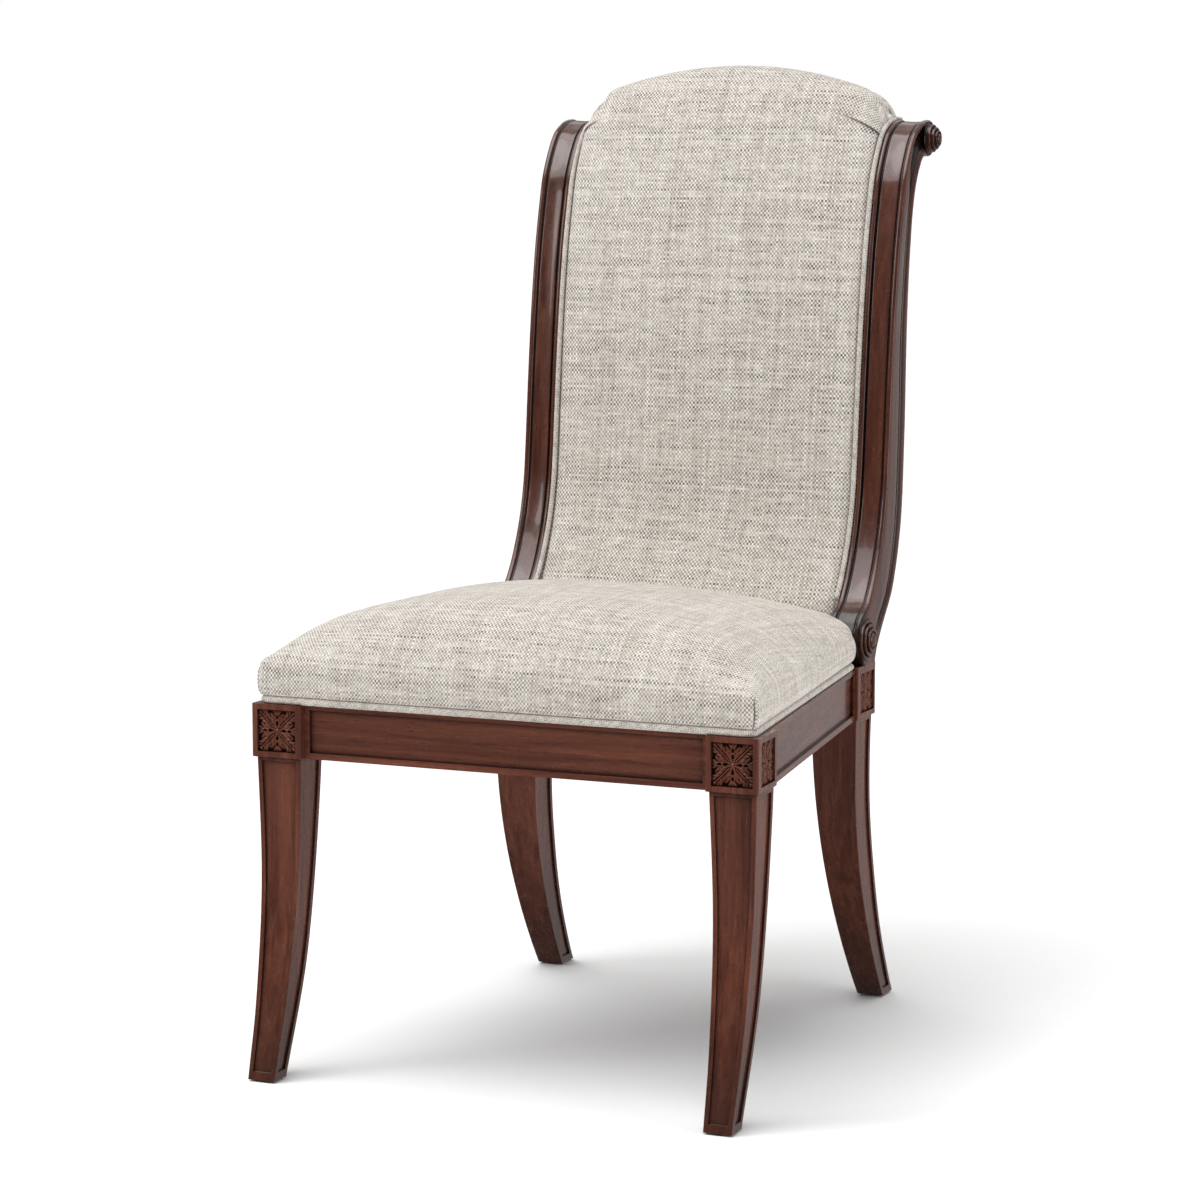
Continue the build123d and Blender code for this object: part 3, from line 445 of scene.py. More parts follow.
def pad_mesh(name, P, U, V, cells, loop, walls, wall_seam_shade, Q, seam_shade, mat):
    """Closed cushion: face grid P, walls from its rim, and an inner face Q that closes it."""
    n, m = cells.shape
    used = np.zeros((n + 1, m + 1), bool)
    for i, j in np.argwhere(cells):
        used[i:i + 2, j:j + 2] = True
    idx = np.full((n + 1, m + 1), -1)
    idx[used] = np.arange(used.sum())
    verts, sm = [P[used]], [seam_shade[used]]
    faces, uvs = [], []
    uv = np.stack([U, V], -1) / 1000.0
    for i, j in np.argwhere(cells):
        c = [(i, j), (i + 1, j), (i + 1, j + 1), (i, j + 1)]
        faces.append([idx[q] for q in c])
        uvs.append([uv[q] for q in c])
    base = used.sum()
    K, R = walls.shape[:2]
    wid = lambda k, r: idx[loop[k % K]] if r == 0 else base + (k % K) * R + r - 1
    verts.append(walls.reshape(-1, 3))
    sm.append(wall_seam_shade.reshape(-1))
    for k in range(K):
        a, b = loop[k], loop[(k + 1) % K]
        pts = [np.vstack([P[a][None], walls[k]]), np.vstack([P[b][None], walls[(k + 1) % K]])]
        fall = [np.concatenate([[0], np.cumsum(np.linalg.norm(np.diff(q, axis=0), axis=1))]) for q in pts]
        if a[1] == b[1]:
            sg = -1 if b[0] > a[0] else 1
            w = [np.stack([np.full(R + 1, U[q]), V[q] + sg * f], -1) for q, f in zip((a, b), fall)]
        else:
            sg = 1 if b[1] > a[1] else -1
            w = [np.stack([np.full(R + 1, U[a[0], 0]) + sg * f, np.full(R + 1, V[q])], -1) for q, f in zip((a, b), fall)]
        w = [q / 1000.0 for q in w]
        for r in range(R):
            faces.append([wid(k, r), wid(k, r + 1), wid(k + 1, r + 1), wid(k + 1, r)])
            uvs.append([w[0][r], w[0][r + 1], w[1][r + 1], w[1][r]])
    base2 = base + K * R
    verts.append(Q[used])
    sm.append(np.zeros(used.sum()))
    for i, j in np.argwhere(cells):
        c = [(i, j), (i, j + 1), (i + 1, j + 1), (i + 1, j)]
        faces.append([base2 + idx[q] for q in c])
        uvs.append([uv[q] for q in c])
    for k in range(K):
        a, b = loop[k], loop[(k + 1) % K]
        faces.append([wid(k, R), base2 + idx[a], base2 + idx[b], wid(k + 1, R)])
        uvs.append([uv[a], uv[a], uv[b], uv[b]])
    return piece(name, np.vstack(verts), faces, mat, uvs, {"seam_shade": np.concatenate(sm)})


def arc_grid(P):
    """Arc length across (from the middle column) and along (from the first row) of a grid."""
    du = np.linalg.norm(np.diff(P, axis=0), axis=2)
    U = np.concatenate([np.zeros((1, P.shape[1])), np.cumsum(du, axis=0)])
    U -= U[P.shape[0] // 2][None]
    dv = np.linalg.norm(np.diff(P, axis=1), axis=2)
    V = np.concatenate([np.zeros((P.shape[0], 1)), np.cumsum(dv, axis=1)], axis=1)
    V -= V[:, :1] * 0
    return U, V


def tube(name, path, r, mat, sides=16, squash=1.0, closed_ends=True, seam_shade=None):
    """Round cord along a 3D path, with weave coordinates round and along it."""
    p = np.asarray(path, float)
    t = np.gradient(p, axis=0)
    t /= np.linalg.norm(t, axis=1)[:, None]
    ref = np.array([0.0, 0.0, 1.0]) if abs(t[0][2]) < 0.9 else np.array([0.0, 1.0, 0.0])
    n = np.cross(t[0], ref)
    n /= np.linalg.norm(n)
    rings = []
    for i in range(len(p)):
        n = n - t[i] * np.dot(n, t[i])
        n /= np.linalg.norm(n)
        b = np.cross(t[i], n)
        a = np.linspace(0, 2 * np.pi, sides, endpoint=False)
        rings.append(p[i] + r * (np.cos(a)[:, None] * n + np.sin(a)[:, None] * b))
    s = np.concatenate([[0], np.cumsum(np.linalg.norm(np.diff(p, axis=0), axis=1))])
    verts, faces, uvs = [np.vstack(rings)], [], []
    for i in range(len(p) - 1):
        for k in range(sides):
            k2 = (k + 1) % sides
            faces.append([i * sides + k, i * sides + k2, (i + 1) * sides + k2, (i + 1) * sides + k])
            c0, c1 = 2 * math.pi * r * k / sides / 1000, 2 * math.pi * r * (k + 1) / sides / 1000
            uvs.append([(c0, s[i] / 1000), (c1, s[i] / 1000), (c1, s[i + 1] / 1000), (c0, s[i + 1] / 1000)])
    nv = len(p) * sides
    for end, i in ((0, 0), (1, len(p) - 1)):
        tip = p[i] + t[i] * (r * 0.55) * (1 if end else -1)
        verts.append(tip[None])
        for k in range(sides):
            k2 = (k + 1) % sides
            f = [i * sides + k, i * sides + k2, nv + end]
            faces.append(f if end else f[::-1])
            uvs.append([(0.001 * k, s[i] / 1000)] * 3)
    return piece(name, np.vstack(verts), faces, mat, uvs)


def even(path, step):
    p = np.asarray(path, float)
    s = np.concatenate([[0], np.cumsum(np.linalg.norm(np.diff(p, axis=0), axis=1))])
    k = np.linspace(0, s[-1], max(int(round(s[-1] / step)), 2) + 1)
    return np.stack([np.interp(k, s, p[:, c]) for c in range(3)], -1)


# ---------------------------------------------------------------- seat cushion
SEAT_Y0, SEAT_Y1, SEAT_Y2 = 2.0, 464.0, 498.0
ZB = 404.3


def seat_w(y):
    return 281.6 - 0.134 * y


def seat_z(x, y):
    v = (y - 2.0) / 476.0
    u = np.clip(np.abs(x / seat_w(y)), 0, 1)
    gx = 1 - 0.6 * u**2.8 - 0.4 * u**14
    vr = 0.453
    gy = np.where(v < vr, 1 - np.clip((vr - v) / vr, 0, 1) ** 6.5, 1 - 0.63 * np.clip((v - vr) / (1 - vr), 0, 2) ** 1.8)
    return 440.4 + 68.4 * gx * gy


EDGE = [0, 0.5, 1.2, 2.2, 3.6, 5.4, 7.6, 10.3, 13.5, 18, 24, 32, 42, 54]
UT = 184.0 / seat_w(SEAT_Y1)
ux = sorted(set([round(1 - e / 252.0, 5) for e in EDGE] + [round(UT, 5), round(UT - 0.012, 5)] +
                [round(k, 5) for k in np.linspace(0, 0.76, 20)]))
ux = np.array([-k for k in ux[::-1] if k > 0] + ux)
vy = sorted(set([SEAT_Y0 + e for e in EDGE] + [SEAT_Y1 - e for e in EDGE[:11]] +
                list(np.linspace(SEAT_Y0 + 68, SEAT_Y1 - 36, 26)) + [466, 470, 475, 480, 485, 489, 492.5, 495, 496.8, 497.6, 498]))
vy = np.array(vy)
gu, gv = np.meshgrid(ux, vy, indexing="ij")
inner = np.abs(gu) <= UT + 1e-6
y = gv.copy()
dx = (1 - np.abs(gu)) * seat_w(y)
df = y - SEAT_Y0
dr = np.where(inner, SEAT_Y2 - y, SEAT_Y1 - y)
near = np.minimum(np.minimum(dx, df), np.maximum(dr, 0))
dx2, df2 = round_corner(dx, df, 12.0)
dx3, dr3 = round_corner(dx2, np.where(inner, 1e3, np.maximum(dr, 0)), 12.0)
y = SEAT_Y0 + df2
y = np.where((~inner) & (dr < 12.0) & (dx < 12.0), SEAT_Y1 - dr3, y)
x = np.sign(gu) * (seat_w(y) - dx3)
z = seat_z(x, y) - 0.9 * drop(near, 6.5)
z += 0.9 * np.sin(x / 61.0 + 0.7) * np.sin(y / 83.0) * np.clip(near / 60.0, 0, 1)
seat_P = np.stack([x, y, z], -1)
ni, nj = len(ux) - 1, len(vy) - 1
cells = np.ones((ni, nj), bool)
j_notch = int(np.argmin(np.abs(vy - SEAT_Y1)))
for i in range(ni):
    if abs(ux[i] + ux[i + 1]) / 2 > UT:
        cells[i, j_notch:] = False
loop = rim_of(cells)
rim = np.array([seat_P[q] for q in loop])
K = len(loop)
tan = np.roll(rim, -1, axis=0)[:, :2] - np.roll(rim, 1, axis=0)[:, :2]
tan /= np.linalg.norm(tan, axis=1)[:, None] + 1e-12
out = np.stack([tan[:, 1], -tan[:, 0]], -1)
f = np.array([0.04, 0.10, 0.18, 0.28, 0.40, 0.52, 0.64, 0.75, 0.84, 0.91, 0.96, 0.985, 1.0])
bulge = 1.9 * np.sin(np.pi * f ** 0.9) ** 0.9 - 2.6 * f**14
step = np.linalg.norm(np.diff(np.vstack([rim, rim[:1]])[:, :2], axis=0), axis=1)
s_rim = np.concatenate([[0], np.cumsum(step)])[:-1]
total = s_rim[-1] + step[-1]
corner = [loop.index((0, 0)), loop.index((ni, 0))]
walls = np.zeros((K, len(f) + 3, 3))
wall_seam_shade = np.zeros((K, len(f) + 3))
top_seam_shade = np.zeros(seat_P.shape[:2])
for k in range(K):
    g = np.zeros(len(f))
    dark = np.zeros(len(f))
    for c, side in zip(corner, (-1, 1)):
        s = (s_rim[k] - s_rim[c] + total / 2) % total - total / 2
        s *= side                                     # positive on the side wall
        g += -1.7 * np.exp(-(s / 0.8) ** 2) * np.clip(f / 0.10, 0, 1)
        g += 1.1 * np.exp(-((s - 2.6) / 1.9) ** 2) * np.clip(f / 0.2, 0, 1)
        # painted shade in the fold at each front corner of the seat's wall
        dark += 0.8 * np.exp(-(s / 0.55) ** 2) * np.clip((f - 0.02) / 0.10, 0, 1)
    zr = rim[k][2] - (rim[k][2] - ZB) * f
    o = bulge * (1 + 1.2 * np.clip((rim[k][1] - 250.0) / 200.0, 0, 1) * (abs(out[k][0]) > 0.8)) + g
    walls[k, :len(f)] = np.stack([rim[k][0] + out[k][0] * o, rim[k][1] + out[k][1] * o, zr], -1)
    wall_seam_shade[k, :len(f)] = np.clip(dark, 0, 1)
    for q, (inset, zz) in enumerate(((5.0, 403.9), (7.6, 404.2), (8.4, 409.0))):
        walls[k, len(f) + q] = (rim[k][0] - out[k][0] * inset, rim[k][1] - out[k][1] * inset, zz)
Q = seat_P.copy()
Q[..., 0] = np.sign(gu) * np.maximum(np.abs(x) - 9.0 * np.clip(np.abs(gu) * 1.2, 0, 1), 0)
Q[..., 1] = np.clip(SEAT_Y0 + 9 + (y - SEAT_Y0) * (SEAT_Y2 - SEAT_Y0 - 18) / (SEAT_Y2 - SEAT_Y0), SEAT_Y0 + 9, SEAT_Y2 - 9)
Q[..., 2] = 417.8
U, V = arc_grid(seat_P)
seat = pad_mesh("seat_cushion", seat_P, U, V, cells, loop, walls, wall_seam_shade, Q, top_seam_shade, M_LINEN)
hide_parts("seat_cover", "seat_foam")

# piping round the seat, along both sides and the front
r = 4.0
pts = [(seat_w(462.0) - r, 462.0, 400.0)]
pts += [(seat_w(q) - r, q, 400.0) for q in np.linspace(455, 16, 60)]
cx, cy = seat_w(14.0) - r - 9.0, SEAT_Y0 + r + 9.0
pts += [(cx + 9.0 * math.cos(a), cy + 9.0 * math.sin(a), 400.0) for a in np.linspace(0, -math.pi / 2, 9)[1:-1]]
pts += [(q, SEAT_Y0 + r, 400.0) for q in np.linspace(cx, 0, 30)]
half = pts
pts = half + [(-a, b, c) for a, b, c in half[-2::-1]]
welt = tube("seat_piping", even(pts, 4.0), 4.05, M_BIAS)
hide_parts("seat_welt")

# ---------------------------------------------------------------- back cushion
ref = Run(PAD_REF)
S_1015 = ref.s_of_z(1015.0)
S_TOP = S_1015 + 66.8
HALF = 186.9
LEAN = 0.883


def s_top(x):
    return S_TOP - 0.00105 * x**2 / LEAN


TOPD = [0, 0.7, 1.8, 3.4, 5.5, 8.2, 11.5, 15.5, 20, 25, 30, 35.5, 41, 46, 50, 52.6, 53.8, 54.6, 55.0, 55.4, 56.2, 57.6, 60, 64, 70, 78, 88, 100]
SIDED = [0, 0.5, 1.2, 2.2, 3.4, 4.4, 5.2, 6.0, 7.0, 8.5, 10.5, 13.5, 17.5, 22, 27, 33, 40, 48, 58]
uu = sorted(set([round(1 - e / HALF, 5) for e in SIDED] + [round(k, 5) for k in np.linspace(0, 0.66, 14)]))
uu = np.array([-k for k in uu[::-1] if k > 0] + uu)
low = list(np.concatenate([np.linspace(0, 1, 60, endpoint=False)]))
nlow, ntop = len(low), len(TOPD)
gi = np.repeat(uu[:, None], nlow + ntop, axis=1)
bx = gi * HALF
st = s_top(bx)
dtop = np.empty_like(bx)
for j, k in enumerate(low):
    dtop[:, j] = st[:, j] - k * (st[:, j] - 100.0)
for j, e in enumerate(TOPD[::-1]):
    dtop[:, nlow + j] = e
dtop[:, nlow] = 100.0
dside = HALF - np.abs(bx)
dbot = st - dtop
S = st - dtop
zz0 = ref.at(S)[..., 1]
# how far the stile's front edge, where the piping runs, lies behind the reference curve
sf = Run(STILE_F[::-1])
sk = np.linspace(0, ref.length, 400)
pk, nk = ref.at(sk), ref.normal(sk)
tk = np.stack([nk[:, 1], -nk[:, 0]], -1)
gap = []
for q in range(len(sk)):
    d_ = sf.d - pk[q]
    along_ = np.abs(d_ @ tk[q])
    along_[sf.d[:, 1] < 470] = 1e3
    i_ = int(np.argmin(along_))
    gap.append(-(d_[i_] @ nk[q]) if along_[i_] < 6 else 42.0)
gap = np.clip(np.array(gap), 0, 42.0)
gap[sk < ref.s_of_z(480)] = 0.0
A_side = np.clip(np.interp(S, sk, gap) - 0.3, 0, None) + 1.2
W_side = 7.0 + 0.9 * A_side
k_ = np.clip(1 - (dside - 4.6) / W_side, 0, 1)
e_side = A_side * (1 - np.sqrt(1 - k_**2)) + 5.0 * np.clip(1 - dside / 4.6, 0, 1) ** 1.5
e_top = drop(dtop, 36.0)
e_bot = drop(dbot, 14.0)
H = -(e_side**2.5 + e_top**2.5 + e_bot**2.5) ** (1 / 2.5)
crown = 13.0 * (1 - np.abs(gi) ** 2.6)
H = H + crown * np.clip(dtop / 60.0, 0, 1) ** 0.6
H -= 1.5 * np.exp(-((dside - 5.4) / 1.3) ** 2) * (zz0 < 985)
# gathered pleat at each shoulder, from the piping inwards along the foot of the top roll
reach = np.where(gi > 0, 44.0, 25.0)
fade = np.clip(1 - dside / (1.15 * reach), 0, 1) ** 0.7
upper = dtop <= 55.01
puff = np.where(upper, 3.4 * np.exp(-(55.0 - dtop) / 13.0), -1.0 * np.exp(-(dtop - 55.4) / 7.0))
puff = np.where(dtop > 120, 0, puff) * np.where(dtop < 20, 0, 1)
H = H + puff * fade
# painted shade in the pleat crease at each shoulder and in the groove beside the stile piping
back_seam_shade = np.where((np.abs(dtop - 55.2) < 0.75), np.clip(1 - dside / reach, 0, 1) ** 0.5, 0.0)
back_seam_shade = np.maximum(back_seam_shade, 0.55 * np.exp(-((dside - 5.2) / 0.7) ** 2) * (zz0 < 990))
ddx, ddt = round_corner(dside, dtop, 36.0)
X = np.sign(gi) * (HALF - ddx)
S = np.where(dtop < 36.0, s_top(np.abs(X)) - ddt, S)


def place(ref_, X, S, H):
    P2, N2 = ref_.at(S), ref_.normal(S)
    return np.stack([X, P2[..., 0] + H * N2[..., 0], P2[..., 1] + H * N2[..., 1]], -1)


back_P = place(ref, X, S, H)
ni, nj = back_P.shape[0] - 1, back_P.shape[1] - 1
cells = np.ones((ni, nj), bool)
loop = rim_of(cells)
K = len(loop)
dom = np.array([(X[q], S[q]) for q in loop])
tan = np.roll(dom, -1, axis=0) - np.roll(dom, 1, axis=0)
tan /= np.linalg.norm(tan, axis=1)[:, None] + 1e-12
out = np.stack([tan[:, 1], -tan[:, 0]], -1)
thick_z = [430, 440, 455, 475, 500, 600, 700, 800, 860, 900, 940, 980, 1015, 1100]
thick_h = [34, 37, 43, 49, 54, 56, 51, 43, 40, 38, 44, 55, 57, 57]
mid_prof = np.array([(3.2, 6.0), (4.2, 12.5), (4.2, 16.0), (3.0, 20.0), (0.9, 24.0), (-1.8, 27.5), (-5.0, 31.0), (-8.4, 34.0), (-11.4, 36.0)])
end_prof = np.array([(2.2, 3.5), (4.0, 7.5), (4.7, 9.5), (5.2, 11.5), (5.6, 13.2), (5.8, 14.8), (5.9, 16.4), (5.7, 17.8), (5.4, 19.0)])
R = len(mid_prof) + 3
NW = len(mid_prof)
walls = np.zeros((K, R, 3))
wall_seam_shade = np.zeros((K, R))
for k, q in enumerate(loop):
    h0 = H[q]
    zq = ref.at(S[q])[1]
    tau = float(np.clip(out[k][1], 0, 1))                # 1 on the top, 0 on the sides
    bl = float(np.clip(abs(X[q]) / 148.0, 0, 1) ** 2)
    h1 = (1 - tau) * (-np.interp(zq, thick_z, thick_h) + 1.5) + tau * (-61.0 * (1 - bl) - 55.0 * bl)
    prof = (1 - bl) * mid_prof + bl * end_prof
    h = h0 + (h1 - h0) * prof[:, 1] / prof[-1, 1]
    walls[k, :NW] = place(ref, np.full(NW, X[q]), S[q] + tau * prof[:, 0], h)
    # painted shade: a dark band where the cushion's rear wall meets the edge piping
    wall_seam_shade[k, NW - 1] = 0.9
    wall_seam_shade[k, NW - 2] = 0.25 + 0.5 * bl
    wall_seam_shade[k, NW - 3] = 0.15 * bl
    for m_, (ins, hh) in enumerate(((2.5, h1 + 0.3), (4.0, h1 + 4.0), (4.0, -22.0))):
        walls[k, NW + m_] = place(ref, X[q] - out[k][0] * ins, S[q] + tau * prof[-1, 0] - out[k][1] * (ins + 14 * tau * (m_ == 2)), hh)
Qx = X * (1 - 6.0 / HALF)
Qs = 6.0 + S * ((S_TOP - 34.0) / S_TOP)
back_Q = place(ref, Qx, Qs, np.full_like(Qx, -18.0))
U, V = arc_grid(back_P)
back = pad_mesh("back_cushion", back_P, U, V, cells, loop, walls, wall_seam_shade, back_Q, back_seam_shade, M_BACK)
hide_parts("back_cover", "back_foam")

# piping between the back and each stile, following the stile's inner edge to its crest
for side, nm in ((1, "right"), (-1, "left")):
    ss = np.linspace(sf.s_of_z(470.0), sf.length + 0.0, 220)
    p2, n2 = sf.at(ss), sf.normal(ss)
    lift = 1.3
    path = np.stack([np.full(len(ss), side * 184.75), p2[:, 0] + lift * n2[:, 0], p2[:, 1] + lift * n2[:, 1]], -1)
    tail = np.array([[side * 184.75, 697.0, 1001.5], [side * 184.75, 704.0, 1001.0]])
    w = tube("back_piping_" + nm, even(np.vstack([path, tail]), 4.0), 2.7, M_BIAS)
    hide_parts("back_welt_" + nm)

# piping round the rear edge of the back, and the outside back that it borders
k0 = loop.index((ni, 0))
order = [loop[(k0 + k) % K] for k in range(K)]
stop = order.index((0, 0))
ring = np.array([walls[loop.index(q), NW - 1] for q in order[:stop + 1]])
ring = ring[(ring[:, 2] > 446.0)]
ring_w = ring + np.stack([0 * ring[:, 0], np.full(len(ring), 1.6), np.where(np.abs(ring[:, 0]) < 186.0, 0.6, 0.0)], -1)
ring_w[:, 0] = np.clip(ring_w[:, 0], -184.4, 184.4)
rear = Run([(520.6, 399.4), (523.6, 408), (531.6, 421), (548.6, 441.5)] + PAD_R[1:] + [(714.0, 1052.0)])
rear_at = lambda z: np.interp(z, rear.d[:, 1], rear.d[:, 0])
ring_w = ring_w[ring_w[:, 2] > 500.0]
foot = np.array([(184.4, rear_at(q) - 0.4, q) for q in (402.5, 410, 420, 430, 440, 450, 460, 470, 480, 490)])
ring_w = np.vstack([foot, ring_w, (foot * np.array([-1.0, 1.0, 1.0]))[::-1]])
path = even(ring_w, 3.0)
for _ in range(3):
    path[1:-1] = (path[:-2] + 2 * path[1:-1] + path[2:]) / 4
ew = tube("back_edge_piping", path, 2.6, M_BIAS)
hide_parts("back_edge_welt_left", "back_edge_welt_right")

half_ring = ring[(ring[:, 0] > -0.5) & (ring[:, 2] > 985.0)]
o_ = np.argsort(half_ring[:, 0])
hx, hy, hz = half_ring[o_].T
TW_ = 184.0
EDG = [0, 0.8, 2, 4, 7, 11, 16, 22, 30, 40, 54]
uo = sorted(set([round(1 - e / TW_, 5) for e in EDG] + [round(k, 5) for k in np.linspace(0, 0.68, 12)]))
uo = np.array([-k for k in uo[::-1] if k > 0] + uo)
vo = np.array(sorted(set(list(np.linspace(0, 1, 60)) + [1 - e / 620.0 for e in EDG] + [e / 620.0 for e in EDG[:6]])))
gi, gj = np.meshgrid(uo, vo, indexing="ij")
ox = gi * TW_
top_z = np.interp(np.abs(ox), hx, hz)
top_y = np.interp(np.abs(ox), hx, hy)
s0_ = rear.s_of_z(400.2)
s1_ = np.interp(top_z, rear.d[:, 1], rear.s)
OS = s0_ + (s1_ - s0_) * gj
shift = (top_y - np.interp(s1_, rear.s, rear.d[:, 0])) * np.clip((gj - 0.86) / 0.14, 0, 1) ** 2
nr = np.minimum(np.minimum(TW_ - np.abs(ox), (1 - gj) * 620.0), gj * 620.0)
OH = 0.4 - 3.2 * (1 - np.abs(gi) ** 3) * np.clip(nr / 45.0, 0, 1) + 1.2 * np.exp(-nr / 2.0)
OH -= 0.35 * np.sin(ox / 23.0) * np.exp(-nr / 30.0)
out_P = place(rear, ox, OS, OH)
out_P[..., 1] += shift
in_P = place(rear, ox, OS, OH + 2.2)
in_P[..., 1] += shift
n_, m_ = out_P.shape[:2]
idx = np.arange(n_ * m_).reshape(n_, m_)
faces, uvs = [], []
U, V = arc_grid(out_P)
uvg = np.stack([U, V], -1) / 1000.0
for i in range(n_ - 1):
    for j in range(m_ - 1):
        c = [(i, j), (i, j + 1), (i + 1, j + 1), (i + 1, j)]
        faces.append([idx[q] for q in c])
        uvs.append([uvg[q] for q in c])
        faces.append([idx[q] + n_ * m_ for q in c[::-1]])
        uvs.append([uvg[q] for q in c[::-1]])
lp = rim_of(np.ones((n_ - 1, m_ - 1), bool))
for a, b in zip(lp, lp[1:] + lp[:1]):
    faces.append([idx[a], idx[b], idx[b] + n_ * m_, idx[a] + n_ * m_])
    uvs.append([uvg[a], uvg[b], uvg[b], uvg[a]])
# painted shade along the panel's rim, beside the piping
sm = np.where(nr < 1.0, 0.5, 0.0).reshape(-1)
ob = piece("outside_back_panel", np.vstack([out_P.reshape(-1, 3), in_P.reshape(-1, 3)]), faces, M_BACK, uvs,
           {"seam_shade": np.concatenate([sm, sm])})
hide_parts("outside_back")


# ---------------------------------------------------------------- dust cloth under the seat
def rail_in(y):
    return 277.5 - 58.5 / 408.0 * (y - 60.0) - 22.23 - 0.8


ys = np.concatenate([np.linspace(32.0, 60.0, 4), np.linspace(61.0, 467.0, 26), np.linspace(468.0, 494.0, 4)])
us = np.linspace(-1, 1, 31)
verts, faces = [], []
for yy in ys:
    w = 226.5 if yy < 60.5 else (rail_in(yy) if yy < 467.5 else 164.0)
    for q in us:
        edge = min((1 - abs(q)) * w, yy - 32.0, 494.0 - yy)
        sag = 2.6 * np.clip(edge / 90.0, 0, 1) ** 0.8
        rip = 0.7 * math.sin(q * 21.0 + 0.4) * math.exp(-(yy - 32.0) / 14.0) + 0.6 * math.sin(yy / 9.5) * math.exp(-(1 - abs(q)) * w / 14.0)
        verts.append((q * w, yy, 395.4 - sag + 0.5 * rip))
nu = len(us)
for j in range(len(ys) - 1):
    for i in range(nu - 1):
        faces.append([j * nu + i, (j + 1) * nu + i, (j + 1) * nu + i + 1, j * nu + i + 1])
dust = piece("dust_cloth", np.array(verts), faces, M_CAMBRIC)
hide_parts("dust_cover")
vv = np.array(verts)
for fa in faces:
    q = vv[fa]


# ---------------------------------------------------------------- carved paterae
N = 150
g = np.linspace(-22.2, 22.2, N + 1)
ga, gb = np.meshgrid(g, g, indexing="ij")
hh = np.zeros_like(ga)


def lobe(r, off, turn, base, L, W, h):
    """Rounded leaf lobe at radius r, off degrees from its sector's axis, turned from it, added by the higher of the two."""
    global hh
    ca, sa = math.cos(math.radians(base + off)), math.sin(math.radians(base + off))
    dx_, dy_ = ga - r * ca, gb - r * sa
    ct, st_ = math.cos(math.radians(base + turn)), math.sin(math.radians(base + turn))
    t, c = dx_ * ct + dy_ * st_, -dx_ * st_ + dy_ * ct
    q = (t / L) ** 2 + (c / W) ** 2
    body = np.sqrt(np.clip(1 - q, 0, 1))
    vein = 0.42 * np.exp(-(c / 0.34) ** 2) * (q < 0.72)
    hh = np.maximum(hh, np.where(q < 1, h * (0.42 + 0.58 * body) - vein, 0))


for base in (0, 90, 180, 270):
    lobe(13.0, 0, 0, base, 8.6, 2.7, 2.35)
    for sg in (-1, 1):
        lobe(8.2, 24 * sg, 30 * sg, base, 3.9, 1.45, 2.5)
        lobe(12.2, 23 * sg, 46 * sg, base, 4.3, 1.5, 2.6)
        lobe(16.2, 18 * sg, 40 * sg, base, 4.4, 1.45, 2.5)
        lobe(19.4, 8 * sg, 24 * sg, base, 3.2, 1.25, 2.2)
for base in (45, 135, 225, 315):
    for sg in (-1, 1):
        lobe(11.0, 13 * sg, 34 * sg, base, 4.6, 1.4, 2.3)
        lobe(16.0, 11 * sg, 40 * sg, base, 5.0, 1.55, 2.5)
        lobe(21.0, 10 * sg, 40 * sg, base, 4.8, 1.55, 2.5)
        lobe(25.2, 8 * sg, 32 * sg, base, 3.6, 1.3, 2.2)
for base in (45, 135, 225, 315):
    ca, sa = math.cos(math.radians(base)), math.sin(math.radians(base))
    t, c = ga * ca + gb * sa, -ga * sa + gb * ca
    on = (t > 3.0) & (t < 26.4)
    hh = np.where(on & (np.abs(c) < 1.75), np.minimum(hh, 0.8), hh)
    hh = np.maximum(hh, np.where(on & (np.abs(c) < 1.15), 2.6 * np.sqrt(np.clip(1 - (c / 1.15) ** 2, 0, 1)) * (0.55 + 0.45 * np.cos((t - 9) / 17 * 1.3)), 0))
    hh = np.maximum(hh, 2.1 * np.sqrt(np.clip(1 - ((t - 27.2) ** 2 + c**2) / 2.3**2, 0, 1)))
rr = np.hypot(ga, gb)
for base in (0, 90, 180, 270):
    ca, sa = math.cos(math.radians(base)), math.sin(math.radians(base))
    for r_, w_ in ((7.9, 1.15), (14.4, 0.95)):
        dd = np.hypot((ga - r_ * ca) * (0.62 if abs(ca) > 0.5 else 1.0), (gb - r_ * sa) * (0.62 if abs(sa) > 0.5 else 1.0))
        hh = np.minimum(hh, np.clip((dd - w_) * 2.6, 0, 9) + 0.05)
hh = np.where(rr < 5.2, 0.7, hh)
for k in range(8):
    lobe(3.9, 0, 0, 22.5 + 45 * k, 1.9, 1.25, 2.5)
hh = np.where(rr < 2.35, 1.4 + 1.75 * np.sqrt(np.clip(1 - (rr / 2.35) ** 2, 0, 1)), hh)
edge = np.minimum(22.2 - np.abs(ga), 22.2 - np.abs(gb))
hh *= np.clip((edge - 0.35) / 0.5, 0, 1)
depth = 4.0 - hh                                   # mm behind the block's face
blur = hh.copy()
for _ in range(14):
    b = np.pad(blur, 1, mode="edge")
    blur = (b[:-2, 1:-1] + b[2:, 1:-1] + b[1:-1, :-2] + b[1:-1, 2:] + b[1:-1, 1:-1]) / 5
# painted shade: cavities and the low ground of the carving darken nearly to black
hollow = np.clip((blur - hh - 0.02) * 1.9 + np.clip((1.75 - hh) / 0.75, 0, 1), 0, 0.98)


